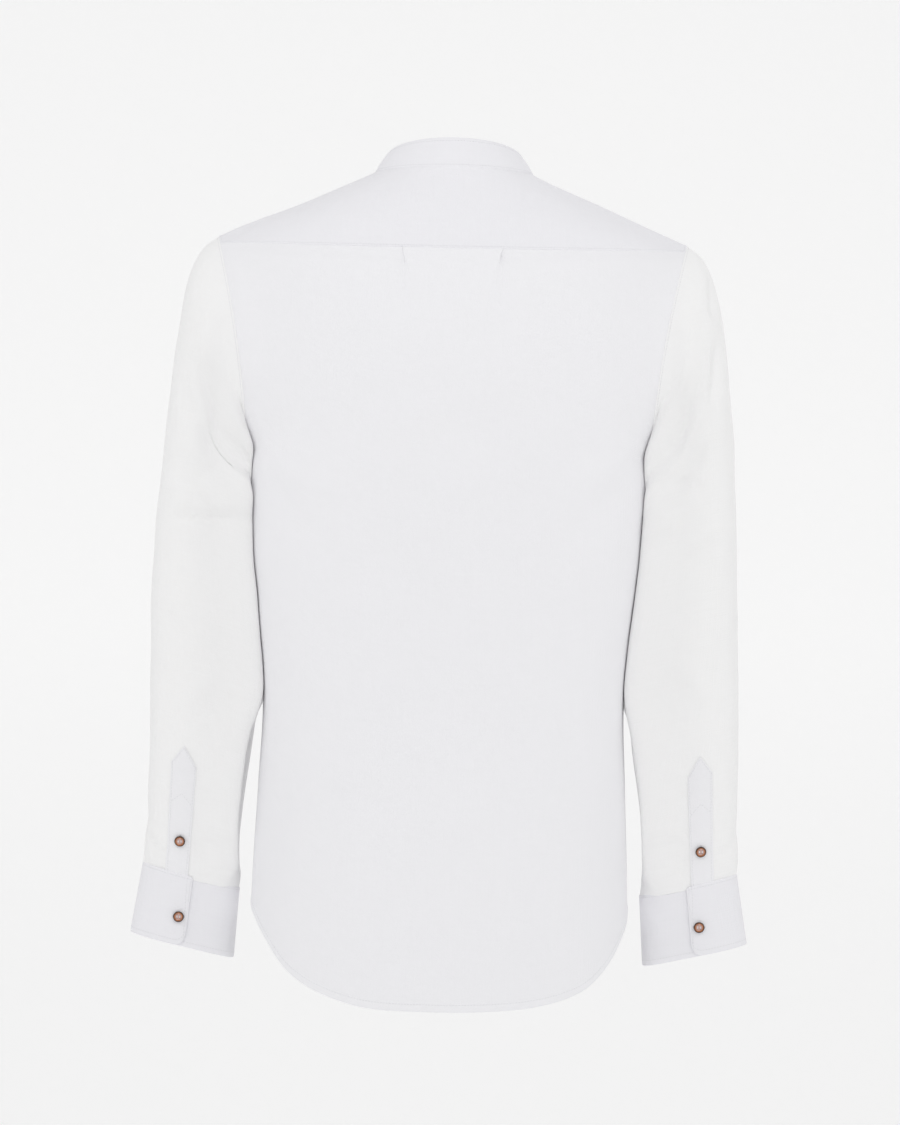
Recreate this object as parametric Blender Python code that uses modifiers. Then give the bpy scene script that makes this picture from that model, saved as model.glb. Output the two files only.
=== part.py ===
"""A mandarin collar shirt, filled out as if worn.

Frame: +Z is up, the front faces -Y and the wearer's left is +X. The origin is the middle of the neck, level
with the tops of the shoulders. Lengths are millimetres until MM makes them metres.

Every cloth piece starts as a grid of points on its outer face, worked out by a function from the sizes below.
Its columns run anticlockwise seen from above and its rows run upwards, so that one cross product gives the
normals.
"""

import math

import bmesh
import bpy
import numpy as np
from mathutils import Vector

MM = 0.001
MIRROR = np.array([-1, 1, 1])

# Cloth
WALL = 1.5
STIFF_WALL = 2.0  # collar band and cuffs, which hold more layers
SEAM_GAP = 0.3

# The edges of a grid, each with the line of points beside it
EDGES = {
    "bottom": (np.s_[0], np.s_[1]),
    "top": (np.s_[-1], np.s_[-2]),
    "first": (np.s_[:, 0], np.s_[:, 1]),
    "last": (np.s_[:, -1], np.s_[:, -2]),
}

# Body: half width at the side seams, and how far the middle of the back and front stand out
UNDERARM_Z = -258
SIDES = {
    "z": (-780, -675, -640, -560, -480, -400, -320, -280, -258),
    "half_width": (172, 173, 172, 168.5, 166, 174, 182.5, 185, 184),
}
BACK = {
    "z": (-780, -640, -480, -360, -258, -170, -120, -95, -75),
    "depth": (110, 106, 98, 105, 114, 116, 110, 104, 96),
}
FRONT = {
    "z": (-780, -640, -480, -360, -258, -190, -130, -72),
    "depth": (110, 111, 110, 117, 124, 122, 104, 78),
}
BODY_SQUARENESS = {"z": (-780, -258, -75), "power": (0.87, 0.87, 1.0)}  # 1 is an ellipse, less is squarer
HEM_SIDE_Z = -675
BACK_TAIL_Z = -761
FRONT_TAIL_Z = -748
HEM_SWEEP = 1.65  # higher keeps the tail flat for longer before it sweeps up to the side

# Armhole: an upright oval from the shoulder tip to the underarm, hollowed towards the body
SHOULDER_TIP = np.array([215.0, 0.0, -61.0])
UNDERARM = np.array([184.0, 0.0, UNDERARM_Z])
ARMHOLE_DEPTH = {"back": 62, "front": 66}
ARMHOLE_HOLLOW = {"back": 6, "front": 14}

# Angles round the armhole, from the shoulder tip at 0 back to the underarm at 180
BACK_SEAM_ANGLE = 22.5
FRONT_SEAM_ANGLE = -36.0
BACK_ARMHOLE = np.linspace(180, BACK_SEAM_ANGLE, 11)
YOKE_ARMHOLE = np.linspace(BACK_SEAM_ANGLE, FRONT_SEAM_ANGLE, 5)
FRONT_ARMHOLE = np.linspace(FRONT_SEAM_ANGLE, -180, 10)

# Neck seam and the collar band's top edge, round from the centre back at 0 to the centre front at 180
NECK_HALF_WIDTH, NECK_BACK, NECK_FRONT = 73, 62, 78
NECK_BACK_RISE, NECK_FRONT_DROP = 2.5, 72
BAND_TOP_HALF_WIDTH, BAND_TOP_BACK, BAND_TOP_FRONT = 61.5, 50, 74
BAND_TOP_BACK_Z, BAND_TOP_SIDE_Z, BAND_TOP_FRONT_Z = 29.5, 17.5, -44
YOKE_NECK_ANGLE = 112
LAP_NECK_ANGLE = 192  # past the centre front by half the overlap
FRONT_NECK_ANGLES = np.array([LAP_NECK_ANGLE, 180, 360 - LAP_NECK_ANGLE, 150, 131, YOKE_NECK_ANGLE])
BAND_RISE = 1.4
BAND_EASE = (140, 162)  # the band's left end moves out and its right end in between these angles
YOKE_SEAM_SAG = 5.5
YOKE_FULLNESS = 5
YOKE_FULLNESS_WAY = np.array([0, 0.6, 0.8])
YOKE_FULLNESS_ENDS = (27, 117)  # whole up to the first angle round the neck, none past the second
CHEST_FULLNESS = np.array([1, 1.6, 1])  # above 1 keeps the chest standing out for longer on its way up

# Columns across half the back, as shares of the turn to the side, with a close pair at the pleat's edge
BACK_COLUMNS = np.concatenate([[0, 0.075, 0.15], np.linspace(0.166, 1, 10)])
PLEAT_COLUMN = 0.158
PLEAT_HEIGHT, PLEAT_LENGTH = 2.6, 120
PLEAT_WIDTH = 0.17  # how far towards the centre its fullness reaches, as a share of the turn
BODY_ROWS = 9  # below the underarm
ROW_CROWDING = 1.25  # above 1 puts the rows closer together towards the underarm
YOKE_ROWS = 5
FRONT_COLUMNS = np.concatenate([[0, 0.08], np.linspace(0.2, 1, 9)])  # the second is at the other lap's edge

# Front closing, where the wearer's left side laps over the right
LAP = 15
LAP_RISE = 2.6
LAP_EASE = (18, 45)  # it stands out this far from the centre, then lies back down

# Sleeve rings, from the armhole to the cuff: the outer and inner edge as seen from behind, the half depth, and
# how far the armhole's hollow carries on
SLEEVE = {
    "outer_x": (215, 231, 243, 251, 257, 264, 269.5, 271, 271, 274),
    "outer_z": (-61, -75, -103, -150, -205, -290, -385, -480, -570, -641),
    "outer_y": (0, 2, 4, 6, 6, 4, 0, -6, -12, -16),
    "inner_x": (184, 189.5, 188.5, 186, 183, 176, 169.5, 170, 179.5, 185.5),
    "inner_z": (-258, -261.5, -274, -298, -330, -390, -455, -515, -590, -663),
    "inner_y": (0, -8, -20, -30, -35, -38, -36, -30, -26, -22),
    "half_depth": (64, 65, 67, 69, 69, 65, 58, 49, 39, 30),
    "hollow": (1, 0.5, 0.1, 0, 0, 0, 0, 0, 0, 0),
}
RINGS_PER_ROW = 3
# Sleeve folds: where along and round the sleeve each lies, how far it slopes, its half length and half width,
# and how far it stands out
SLEEVE_FOLDS = {
    "down": (0.33, 0.39, 0.51, 0.36, 0.60, 0.955, 0.925),
    "angle": (120, 118, 90, -110, -90, 100, 15),
    "slope": (0.0008, 0.0008, 0.0, -0.0008, 0.0004, 0.0, -0.0003),
    "half_turn": (60, 56, 60, 60, 60, 56, 50),
    "half_length": (0.026, 0.026, 0.022, 0.028, 0.028, 0.014, 0.016),
    "height": (-3.0, 2.4, -2.0, -3.0, -2.2, -1.8, -1.5),
}

# Cuffs: the bottom ring as in SLEEVE, and the lap, whose end is towards the back
CUFF_BOTTOM = {"outer": (284, -16, -702), "inner": (189.5, -24, -724), "half_depth": 28}
CUFF_LAP_END, CUFF_UNDER_END = 93, -301
CUFF_RISE = 1.4
CUFF_CORNER = 10
CUFF_EASE = 45
CUFF_END_ANGLES = np.array([0, 4, 12])  # closer columns, for the rounded corner
CUFF_COLUMNS, CUFF_COLUMNS_FROM_END = 24, 24  # the other columns, and the angle from the end where they start

# Gauntlet over the sleeve slit, by the angle round the sleeve and its share of the way up from the cuff
GAUNTLET_EDGES = (61.0, 88.0)
GAUNTLET_TOP, GAUNTLET_POINT = 0.153, 0.022
GAUNTLET_WALL = 1.2
GAUNTLET_LIFT = 0.4

# Buttons, with the profile as shares of the radius and the thickness, from the dish round to the back
BUTTON_RADIUS, BUTTON_THICKNESS = 5.0, 2.4
BUTTON_PROFILE = [(0, 0.6), (0.62, 0.6), (0.78, 1), (0.94, 0.9), (1, 0.5), (0.85, 0), (0, 0)]
BUTTON_SIDES = 12
BUTTON_LIFT = 0.5
FRONT_BUTTON_Z = (-105, -198, -291, -384, -477, -570)
GAUNTLET_BUTTON = {"angle": 76, "up": 0.052}
CUFF_BUTTON = {"angle": 84, "up": 0.41}

WHITE_LINEN = (0.80, 0.80, 0.83, 1)
BUTTON_BROWN = (0.42, 0.24, 0.15, 1)


def along_table(table, column, at):
    """The value of one column of a table at `at` of its first column, on a smooth curve through the rows."""
    steps = np.array(table[next(iter(table))], float)
    values = np.array(table[column], float)
    return smooth_curve(steps, values, at)


def smooth_curve(steps, values, at):
    """A cubic through (steps, values), whose slope at each step is the mean of those beside it."""
    at = np.clip(at, steps[0], steps[-1])
    slopes = np.gradient(values, steps)
    first = np.clip(np.searchsorted(steps, at, side="right") - 1, 0, len(steps) - 2)
    width = steps[first + 1] - steps[first]
    t = (at - steps[first]) / width
    start = (1 + 2 * t) * (1 - t) ** 2 * values[first] + t * (1 - t) ** 2 * width * slopes[first]
    return start + t**2 * (3 - 2 * t) * values[first + 1] + t**2 * (t - 1) * width * slopes[first + 1]


def ease(value):
    """0 below 0 and 1 above 1, with a smooth climb between."""
    t = np.clip(value, 0, 1)
    return t * t * (3 - 2 * t)


def unit(vectors):
    return vectors / np.linalg.norm(vectors, axis=-1, keepdims=True)


def armhole(angle):
    """A point on the left armhole seam, at an angle in degrees, positive towards the back."""
    turn = math.radians(angle)
    side = "back" if angle > 0 else "front"
    oval = (SHOULDER_TIP + UNDERARM) / 2 + math.cos(turn) * (SHOULDER_TIP - UNDERARM) / 2
    hollow, depth = ARMHOLE_HOLLOW[side], ARMHOLE_DEPTH[side]
    return oval + np.array([-hollow * math.sin(turn) ** 2, depth * math.sin(turn), 0])


def neck(angle):
    """A point on the neck seam, at an angle in degrees from the centre back round the wearer's left side."""
    sine, cosine = math.sin(math.radians(angle)), math.cos(math.radians(angle))
    forward = max(-cosine, 0)
    z = NECK_BACK_RISE * cosine - (NECK_FRONT_DROP - NECK_BACK_RISE) * forward**1.4
    return np.array([NECK_HALF_WIDTH * sine, (NECK_FRONT if cosine < 0 else NECK_BACK) * cosine, z])


def band_top(angle):
    """A point on the collar band's top edge, beside the neck seam's at the same angle."""
    sine, cosine = math.sin(math.radians(angle)), math.cos(math.radians(angle))
    middle = (BAND_TOP_BACK - BAND_TOP_FRONT) / 2
    rise = BAND_TOP_BACK_Z - BAND_TOP_SIDE_Z
    z = BAND_TOP_SIDE_Z + rise * cosine + (BAND_TOP_FRONT_Z - BAND_TOP_SIDE_Z + rise) * max(-cosine, 0) ** 1.5
    return np.array([BAND_TOP_HALF_WIDTH * sine, middle + (BAND_TOP_BACK - middle) * cosine, z])


def body_row(start, end, depth, columns):
    """A row of points from `start` round to `end`, on part of a squarish oval that stands out by `depth`."""
    power = along_table(BODY_SQUARENESS, "power", end[2])
    turn = columns * math.acos(min(abs(end[1]) / depth, 1) ** (1 / power))
    full = max(turn[-1], 1e-6)
    out = (np.sin(turn) / math.sin(full)) ** power
    back = (1 - np.cos(turn).clip(0) ** power) / (1 - max(math.cos(full), 0) ** power)
    return start + (end - start) * np.stack([out, back, out**2], axis=1)


def patch(bottom, top, left, right, across):
    """A surface between four edges: lines from the bottom to the top, bent as the nearer side is."""
    up = np.linspace(0, 1, len(left))[:, None] ** CHEST_FULLNESS
    towards_right = ease((across - across[1]) / (1 - across[1]))[None, :, None]  # none on the lap
    rising = bottom * (1 - up[:, None]) + top * up[:, None]
    left_bend, right_bend = (side - side[0] * (1 - up) - side[-1] * up for side in (left, right))
    return rising + left_bend[:, None] * (1 - towards_right) + right_bend[:, None] * towards_right


def skirt_rows(table, tail_z, columns, start_x, facing):
    """Rows from the curved hem up to just below the underarm. Their ends lie on the side seam."""
    sweep = 0.5 * (1 - np.cos(math.pi * columns**HEM_SWEEP))
    hem = tail_z + (HEM_SIDE_Z - tail_z) * sweep
    power = along_table(BODY_SQUARENESS, "power", UNDERARM_Z)
    rows = []
    for share in 1 - (1 - np.arange(BODY_ROWS) / BODY_ROWS) ** ROW_CROWDING:
        z = hem + (UNDERARM_Z - hem) * share
        turn = columns * math.pi / 2
        width = along_table(SIDES, "half_width", z)
        x = start_x + (width - start_x) * np.sin(turn) ** power
        y = facing * along_table(table, "depth", z) * np.cos(turn).clip(0) ** power
        rows.append(np.stack([x, y, z], axis=1))
    return rows


def back_half():
    """The wearer's left half of the back, from the centre to the side, before its pleat."""
    rows = skirt_rows(BACK, BACK_TAIL_Z, BACK_COLUMNS, 0, 1)
    for angle in BACK_ARMHOLE:
        end = armhole(angle)
        climb = (end[2] - UNDERARM_Z) / (armhole(BACK_SEAM_ANGLE)[2] - UNDERARM_Z)
        z = end[2] - YOKE_SEAM_SAG * ease(climb)
        depth = along_table(BACK, "depth", z)
        rows.append(body_row(np.array([0, depth, z]), end, depth, BACK_COLUMNS))
    return np.array(rows)


def back_grid():
    half = back_half()
    below_seam = (half[-1, :, 2] - half[:, :, 2]) / PLEAT_LENGTH
    fullness = np.where(BACK_COLUMNS < PLEAT_COLUMN, ease(1 - (PLEAT_COLUMN - BACK_COLUMNS) / PLEAT_WIDTH), 0)
    half[:, :, 1] += PLEAT_HEIGHT * fullness * ease(1 - below_seam)
    return np.concatenate([half[:, :0:-1], half * MIRROR], axis=1)


def yoke_grid():
    """Lines from the neck seam out to the back seam and the armholes, with a little fullness over the back."""
    outer = np.concatenate([back_half()[-1], [armhole(angle) for angle in YOKE_ARMHOLE[1:]]])
    angles = np.linspace(0, YOKE_NECK_ANGLE, len(outer))
    inner = np.array([neck(angle) for angle in angles])
    share = np.linspace(1, 0, YOKE_ROWS + 1)[:, None, None]
    swell = share**2 * (1 - share) * 27 / 4  # 1 at its highest
    start, end = YOKE_FULLNESS_ENDS
    fullness = YOKE_FULLNESS * swell * ease((end - angles) / (end - start))[:, None]
    half = inner + (outer - inner) * share + fullness * YOKE_FULLNESS_WAY
    return np.concatenate([half[:, ::-1], (half * MIRROR)[:, 1:]], axis=1)


def front_grid():
    """The wearer's left front, from the lap's edge at the centre to the side."""
    skirt = skirt_rows(FRONT, FRONT_TAIL_Z, FRONT_COLUMNS, -LAP, -1)
    right = np.array([armhole(angle) for angle in FRONT_ARMHOLE[::-1]])
    round_neck = np.array([neck(angle) for angle in FRONT_NECK_ANGLES])
    yoke_seam = np.linspace(round_neck[-1], right[-1], YOKE_ROWS + 1)
    lap_z = np.linspace(UNDERARM_Z, round_neck[0][2], len(right))
    left = np.stack([np.full(len(right), -LAP), -along_table(FRONT, "depth", lap_z), lap_z], axis=1)
    left += (round_neck[0] - left[-1]) * np.linspace(0, 1, len(right))[:, None]
    bottom = body_row(left[0], right[0], -left[0][1], FRONT_COLUMNS)
    upper = patch(bottom, np.concatenate([round_neck[:-1], yoke_seam]), left, right, FRONT_COLUMNS)
    return np.concatenate([skirt, upper])


def band_grid():
    """The collar band, from its left end at the front round the back to its right end, under the left."""
    yoke_angles = np.linspace(0, YOKE_NECK_ANGLE, len(BACK_COLUMNS) + len(YOKE_ARMHOLE) - 1)
    half = np.concatenate([yoke_angles, FRONT_NECK_ANGLES[-2::-1]])
    angles = np.concatenate([half[::-1], -half[1:]])
    seam, top = np.array([neck(a) for a in angles]), np.array([band_top(a) for a in angles])
    grid = seam + (top - seam) * np.array([0, 0.5, 1])[:, None, None]
    start, end = BAND_EASE
    spiral = BAND_RISE * np.sign(angles) * ease((abs(angles) - start) / (end - start))
    return grid + unit(grid * [1, 1, 0]) * spiral[:, None]


def sleeve_angles():
    """Angles round the sleeve, those of the pieces it is sewn to, anticlockwise seen from above."""
    return np.concatenate([BACK_ARMHOLE, YOKE_ARMHOLE[1:], FRONT_ARMHOLE[1:-1]])[::-1]


def sleeve_ring(row, angles):
    """Points round the sleeve at a row number of SLEEVE, which may lie between rows."""
    rows = np.arange(len(SLEEVE["outer_x"]), dtype=float)
    at = {name: float(smooth_curve(rows, np.array(values, float), row)) for name, values in SLEEVE.items()}
    outer = np.array([at["outer_x"], at["outer_y"], at["outer_z"]])
    inner = np.array([at["inner_x"], at["inner_y"], at["inner_z"]])
    turn = np.radians(angles)[:, None]
    hollow = {side: ARMHOLE_HOLLOW[side] * at["hollow"] for side in ARMHOLE_HOLLOW}
    deeper = {side: (ARMHOLE_DEPTH[side] - SLEEVE["half_depth"][0]) * at["hollow"] for side in ARMHOLE_DEPTH}
    to_back = np.sin(turn) > 0
    depth = at["half_depth"] + np.where(to_back, deeper["back"], deeper["front"])
    ring = (outer + inner) / 2 + np.cos(turn) * (outer - inner) / 2 + np.sin(turn) * depth * [0, 1, 0]
    return ring - np.where(to_back, hollow["back"], hollow["front"]) * np.sin(turn) ** 2 * [1, 0, 0]


def sleeve_fold(down, angles):
    """How far the folds push the sleeve out at a share of the way down, at all its angles."""
    total = np.zeros(len(angles))
    for at, angle, slope, half_turn, half_length, height in zip(*SLEEVE_FOLDS.values()):
        turn = (angles - angle + 180) % 360 - 180
        across = (down - at - slope * turn) / half_length
        total += height * np.exp(-(across**2)) * ease(1 - abs(turn) / half_turn)
    return total


def sleeve_grid():
    """The wearer's left sleeve, in rings from the cuff up to the armhole. Its columns join into a tube."""
    angles = sleeve_angles()
    last = len(SLEEVE["outer_x"]) - 1
    numbers = np.linspace(last, 0, last * RINGS_PER_ROW + 1)
    grid = np.array([sleeve_ring(number, angles) for number in numbers])
    lift = np.array([sleeve_fold(number / last, angles) for number in numbers])
    return grid + grid_normals(grid, True) * lift[:, :, None]


def cuff_grid():
    """The left cuff: a strip round the wrist from its under end to its lap's end, in a slight spiral."""
    first, last = CUFF_UNDER_END + CUFF_COLUMNS_FROM_END, CUFF_LAP_END - CUFF_COLUMNS_FROM_END
    between = np.linspace(first, last, CUFF_COLUMNS)
    angles = np.concatenate([CUFF_UNDER_END + CUFF_END_ANGLES, between, CUFF_LAP_END - CUFF_END_ANGLES[::-1]])
    cosine, sine = np.cos(np.radians(angles))[:, None], np.sin(np.radians(angles))[:, None]
    seam = {side: [SLEEVE[f"{side}_{axis}"][-1] for axis in "xyz"] for side in ("outer", "inner")}
    rings, outward = [], []
    for ring, depth in ((CUFF_BOTTOM, CUFF_BOTTOM["half_depth"]), (seam, SLEEVE["half_depth"][-1])):
        middle = np.add(ring["outer"], ring["inner"]) / 2
        side = np.subtract(ring["outer"], ring["inner"]) / 2
        rings.append(middle + cosine * side + sine * np.array([0, depth, 0]))
        outward.append(unit(cosine * side / (side @ side) + sine * np.array([0, 1 / depth, 0])))
    arc = np.append(0, np.cumsum(np.linalg.norm(np.diff(rings[0], axis=0), axis=1)))
    inside = np.clip(CUFF_CORNER - np.minimum(arc, arc[-1] - arc), 0, CUFF_CORNER)
    height = np.linalg.norm(rings[1] - rings[0], axis=1)
    corner = (CUFF_CORNER - np.sqrt(CUFF_CORNER**2 - inside**2)) / height
    spiral = ease((angles - CUFF_LAP_END) / CUFF_EASE + 2) - ease((CUFF_UNDER_END - angles) / CUFF_EASE + 2)
    rows = []
    for share in (0, 1 / 3, 2 / 3, 1):
        up = (corner + (1 - corner) * share)[:, None]
        rows.append(rings[0] + (rings[1] - rings[0]) * up + outward[0] * (CUFF_RISE * spiral)[:, None])
    return np.array(rows), angles


def grid_normals(points, wraps=False):
    """Unit normals of a grid, out of the garment."""
    if wraps:
        along = np.roll(points, -1, axis=1) - np.roll(points, 1, axis=1)
    else:
        along = np.gradient(points, axis=1)
    return unit(np.cross(along, np.gradient(points, axis=0)))


class Cloth:
    """A piece of cloth: a grid of points on its outer face, and the direction of its wall at each."""

    def __init__(self, points, wall=WALL, wraps=False):
        self.points, self.wall, self.wraps = points, wall, wraps
        self.normals = grid_normals(points, wraps)

    def mirrored(self):
        return Cloth((self.points * MIRROR)[:, ::-1], self.wall, self.wraps)

    def trim(self, *edges):
        """Moves edges in by half the seam gap, square to the edge and along the cloth."""
        for edge in edges:
            here, beside = EDGES[edge]
            line, normals = self.points[here], self.normals[here]
            if self.wraps:
                run = np.roll(line, -1, axis=0) - np.roll(line, 1, axis=0)
            else:
                run = np.gradient(line, axis=0)
            inward = unit(np.cross(normals, run))
            inward *= np.sign(np.sum(inward * (self.points[beside] - line)))
            self.points[here] = line + inward * SEAM_GAP / 2

    def place(self, row, column, out=0.0):
        """The point at fractional row and column numbers, moved out of the cloth, and the normal there."""
        r, c = min(int(row), len(self.points) - 2), min(int(column), self.points.shape[1] - 2)
        up, along = row - r, column - c
        shares = {
            (r, c): (1 - up) * (1 - along),
            (r + 1, c): up * (1 - along),
            (r, c + 1): (1 - up) * along,
            (r + 1, c + 1): up * along,
        }
        normal = unit(sum(self.normals[corner] * share for corner, share in shares.items()))
        return sum(self.points[corner] * share for corner, share in shares.items()) + normal * out, normal

    def place_at(self, x, z, out):
        """As `place`, at an x and a z, on a piece whose columns run towards +X and whose rows run up."""
        columns = [float(np.interp(x, row[:, 0], np.arange(len(row)))) for row in self.points]
        heights = [self.place(r, column)[0][2] for r, column in enumerate(columns)]
        row = float(np.interp(z, heights, np.arange(len(heights))))
        return self.place(row, float(np.interp(row, np.arange(len(columns)), columns)), out)


def share_directions(pieces):
    """Where pieces meet point to point, gives their walls one direction, so that their ends stay parallel."""
    meeting = {}
    for piece in pieces:
        for spot in np.ndindex(piece.points.shape[:2]):
            key = tuple(np.round(piece.points[spot], 1) + 0.0)
            meeting.setdefault(key, []).append(piece.normals[spot])
    for normals in meeting.values():
        mean = unit(sum(normals))
        for normal in normals:
            normal[...] = mean


def gauntlet_skins(sleeve):
    """The gauntlet's outer and inner grids, made from the sleeve's own points and moved out."""
    angles = sleeve_angles()
    low, high = GAUNTLET_EDGES
    middle = (low + high) / 2
    across = sorted({low, middle, high, *(float(angle) for angle in angles if low < angle < high)})
    last = len(sleeve.points) - 1
    skins = []
    for out in (GAUNTLET_LIFT + GAUNTLET_WALL, GAUNTLET_LIFT):
        rows = []
        for up in np.append(np.arange(0, GAUNTLET_TOP * last) / last, GAUNTLET_TOP):
            row = []
            for angle in across:
                peak = GAUNTLET_POINT * (1 - abs(angle - middle) / (middle - low)) if up == GAUNTLET_TOP else 0
                column = float(np.interp(angle, angles, np.arange(len(angles))))
                row.append(sleeve.place((up + peak) * last, column, out)[0])
            rows.append(row)
        skins.append(np.array(rows))
    return skins


def material(name, colour, roughness):
    made = bpy.data.materials.new(name)
    made.use_nodes = True
    shader = made.node_tree.nodes["Principled BSDF"]
    shader.inputs["Base Color"].default_value = colour
    shader.inputs["Roughness"].default_value = roughness
    return made


def add_object(name, mesh, made_of, parts):
    mesh.materials.append(made_of)
    made = bpy.data.objects.new(name, mesh)
    parts.objects.link(made)
    return made


def add_rim(maker, one, other):
    """Two triangles between two pairs of outer and inner points, split from the lower outer point, so that the
    rims on both sides of a seam twist alike."""
    low, high = sorted((one, other), key=lambda pair: pair[0].co.z)
    maker.faces.new((low[0], high[0], high[1]))
    maker.faces.new((low[0], high[1], low[1]))


def add_wall(name, outer, inner, made_of, parts, wraps=False):
    """A closed wall lofted between two grids, whose ends follow the directions shared at the seams."""
    maker = bmesh.new()
    skins = [[[maker.verts.new(point * MM) for point in row] for row in skin] for skin in (outer, inner)]
    rows, columns = outer.shape[:2]
    for c in range(columns if wraps else columns - 1):
        d = (c + 1) % columns
        for skin in skins:
            for r in range(rows - 1):
                maker.faces.new((skin[r][c], skin[r][d], skin[r + 1][d], skin[r + 1][c]))
        for r in (0, rows - 1):
            add_rim(maker, (skins[0][r][c], skins[1][r][c]), (skins[0][r][d], skins[1][r][d]))
    for c in () if wraps else (0, columns - 1):
        for r in range(rows - 1):
            add_rim(maker, (skins[0][r][c], skins[1][r][c]), (skins[0][r + 1][c], skins[1][r + 1][c]))
    bmesh.ops.recalc_face_normals(maker, faces=maker.faces)
    mesh = bpy.data.meshes.new(name)
    maker.to_mesh(mesh)
    maker.free()
    mesh.shade_smooth()
    add_object(name, mesh, made_of, parts)


def add_cloth(name, piece, made_of, parts):
    inner = piece.points - piece.normals * piece.wall
    add_wall(name, piece.points, inner, made_of, parts, piece.wraps)


def add_button(name, place, normal, made_of, parts):
    """A turned button with a raised rim, lying on the cloth with a small gap."""
    mesh = bpy.data.meshes.new(name)
    profile = [(out * BUTTON_RADIUS * MM, 0, up * BUTTON_THICKNESS * MM) for out, up in BUTTON_PROFILE]
    mesh.from_pydata(profile, [(i, i + 1) for i in range(len(profile) - 1)], [])
    made = add_object(name, mesh, made_of, parts)
    turned = made.modifiers.new("turned", "SCREW")
    turned.steps = turned.render_steps = BUTTON_SIDES
    turned.use_merge_vertices = True
    turned.merge_threshold = 1e-5
    made.location = place * MM
    made.rotation_mode = "QUATERNION"
    made.rotation_quaternion = Vector(normal).to_track_quat("Z", "Y")


def build():
    for old in list(bpy.data.objects):
        bpy.data.objects.remove(old, do_unlink=True)
    parts = bpy.data.collections.new("mandarin_collar_shirt")
    bpy.context.scene.collection.children.link(parts)
    linen = material("linen", WHITE_LINEN, 0.9)
    horn = material("button", BUTTON_BROWN, 0.35)

    back, yoke, sleeve_left = Cloth(back_grid()), Cloth(yoke_grid()), Cloth(sleeve_grid(), wraps=True)
    front_left, band = Cloth(front_grid()), Cloth(band_grid(), STIFF_WALL)
    front_right, sleeve_right = front_left.mirrored(), sleeve_left.mirrored()
    share_directions([back, yoke, band, front_left, front_right, sleeve_left, sleeve_right])
    from_lap = (front_left.points[:, :, 0] - LAP_EASE[0]) / LAP_EASE[1]
    front_left.points[:, :, 1] -= LAP_RISE * (1 - ease(from_lap))

    cuff_points, cuff_angles = cuff_grid()
    cuff_left = Cloth(cuff_points, STIFF_WALL)
    cuff_right = cuff_left.mirrored()
    for piece, edges in (
        (back, ("first", "last", "top")),
        (yoke, ("bottom", "first", "last", "top")),
        (front_left, ("first", "last", "top")),
        (front_right, ("first", "last", "top")),
        (band, ("bottom",)),
        (sleeve_left, ("bottom", "top")),
        (sleeve_right, ("bottom", "top")),
        (cuff_left, ("top",)),
        (cuff_right, ("top",)),
    ):
        piece.trim(*edges)
    for name, piece in (
        ("back", back),
        ("yoke", yoke),
        ("front_left", front_left),
        ("front_right", front_right),
        ("collar_band", band),
        ("sleeve_left", sleeve_left),
        ("sleeve_right", sleeve_right),
        ("cuff_left", cuff_left),
        ("cuff_right", cuff_right),
    ):
        add_cloth(name, piece, linen, parts)

    gauntlet = gauntlet_skins(sleeve_left)
    for side, flip in (("left", 1), ("right", MIRROR)):
        add_wall("gauntlet_" + side, gauntlet[0] * flip, gauntlet[1] * flip, linen, parts)

    angles = sleeve_angles()
    gauntlet_column = float(np.interp(GAUNTLET_BUTTON["angle"], angles, np.arange(len(angles))))
    gauntlet_row = GAUNTLET_BUTTON["up"] * (len(sleeve_left.points) - 1)
    on_gauntlet = sleeve_left.place(gauntlet_row, gauntlet_column, GAUNTLET_LIFT + GAUNTLET_WALL + BUTTON_LIFT)
    cuff_column = float(np.interp(CUFF_BUTTON["angle"], cuff_angles, np.arange(len(cuff_angles))))
    on_cuff = cuff_left.place(CUFF_BUTTON["up"] * (len(cuff_left.points) - 1), cuff_column, BUTTON_LIFT)
    for side, flip in (("left", 1), ("right", MIRROR)):
        for name, (place, normal) in (("gauntlet", on_gauntlet), ("cuff", on_cuff)):
            add_button(f"button_{name}_{side}", place * flip, normal * flip, horn, parts)
    for number, z in enumerate(FRONT_BUTTON_Z, 1):
        add_button(f"button_front_{number}", *front_left.place_at(0, z, BUTTON_LIFT), horn, parts)
    add_button("button_collar", *band_button(band), horn, parts)


def band_button(band):
    """The collar button's place, at the centre front on the band's outer end."""
    column = float(np.interp(0, band.points[1, :3, 0], np.arange(3)))
    return band.place(1, column, BUTTON_LIFT)


build()
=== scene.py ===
"""The looks of a mandarin collar shirt, filled out as if worn and seen from behind.

The file is laid out as a Blender add-on and run as a script. Each piece of cloth is a surface of two
parameters, worked out with numpy on a grid in millimetres: columns run anticlockwise seen from above,
rows run upwards. The front faces -Y, the wearer's left is +X, and the origin is the middle of the neck,
level with the shoulders.
"""

import math

import bpy
import numpy as np
from bpy.props import FloatProperty, FloatVectorProperty, PointerProperty
from mathutils import Matrix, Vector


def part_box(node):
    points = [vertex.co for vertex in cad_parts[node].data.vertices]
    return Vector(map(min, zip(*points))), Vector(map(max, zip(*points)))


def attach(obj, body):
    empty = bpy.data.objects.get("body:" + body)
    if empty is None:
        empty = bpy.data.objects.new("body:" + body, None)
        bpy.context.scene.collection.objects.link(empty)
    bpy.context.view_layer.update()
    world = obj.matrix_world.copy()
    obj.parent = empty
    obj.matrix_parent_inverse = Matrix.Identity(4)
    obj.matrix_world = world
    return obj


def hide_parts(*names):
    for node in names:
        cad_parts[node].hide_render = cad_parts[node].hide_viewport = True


bl_info = {
    "name": "Mandarin collar shirt",
    "version": (1, 0, 0),
    "blender": (4, 5, 0),
    "location": "View3D > Sidebar > Shirt",
    "description": "Builds a linen shirt with a band collar, piece by piece",
    "category": "Object",
}

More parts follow.
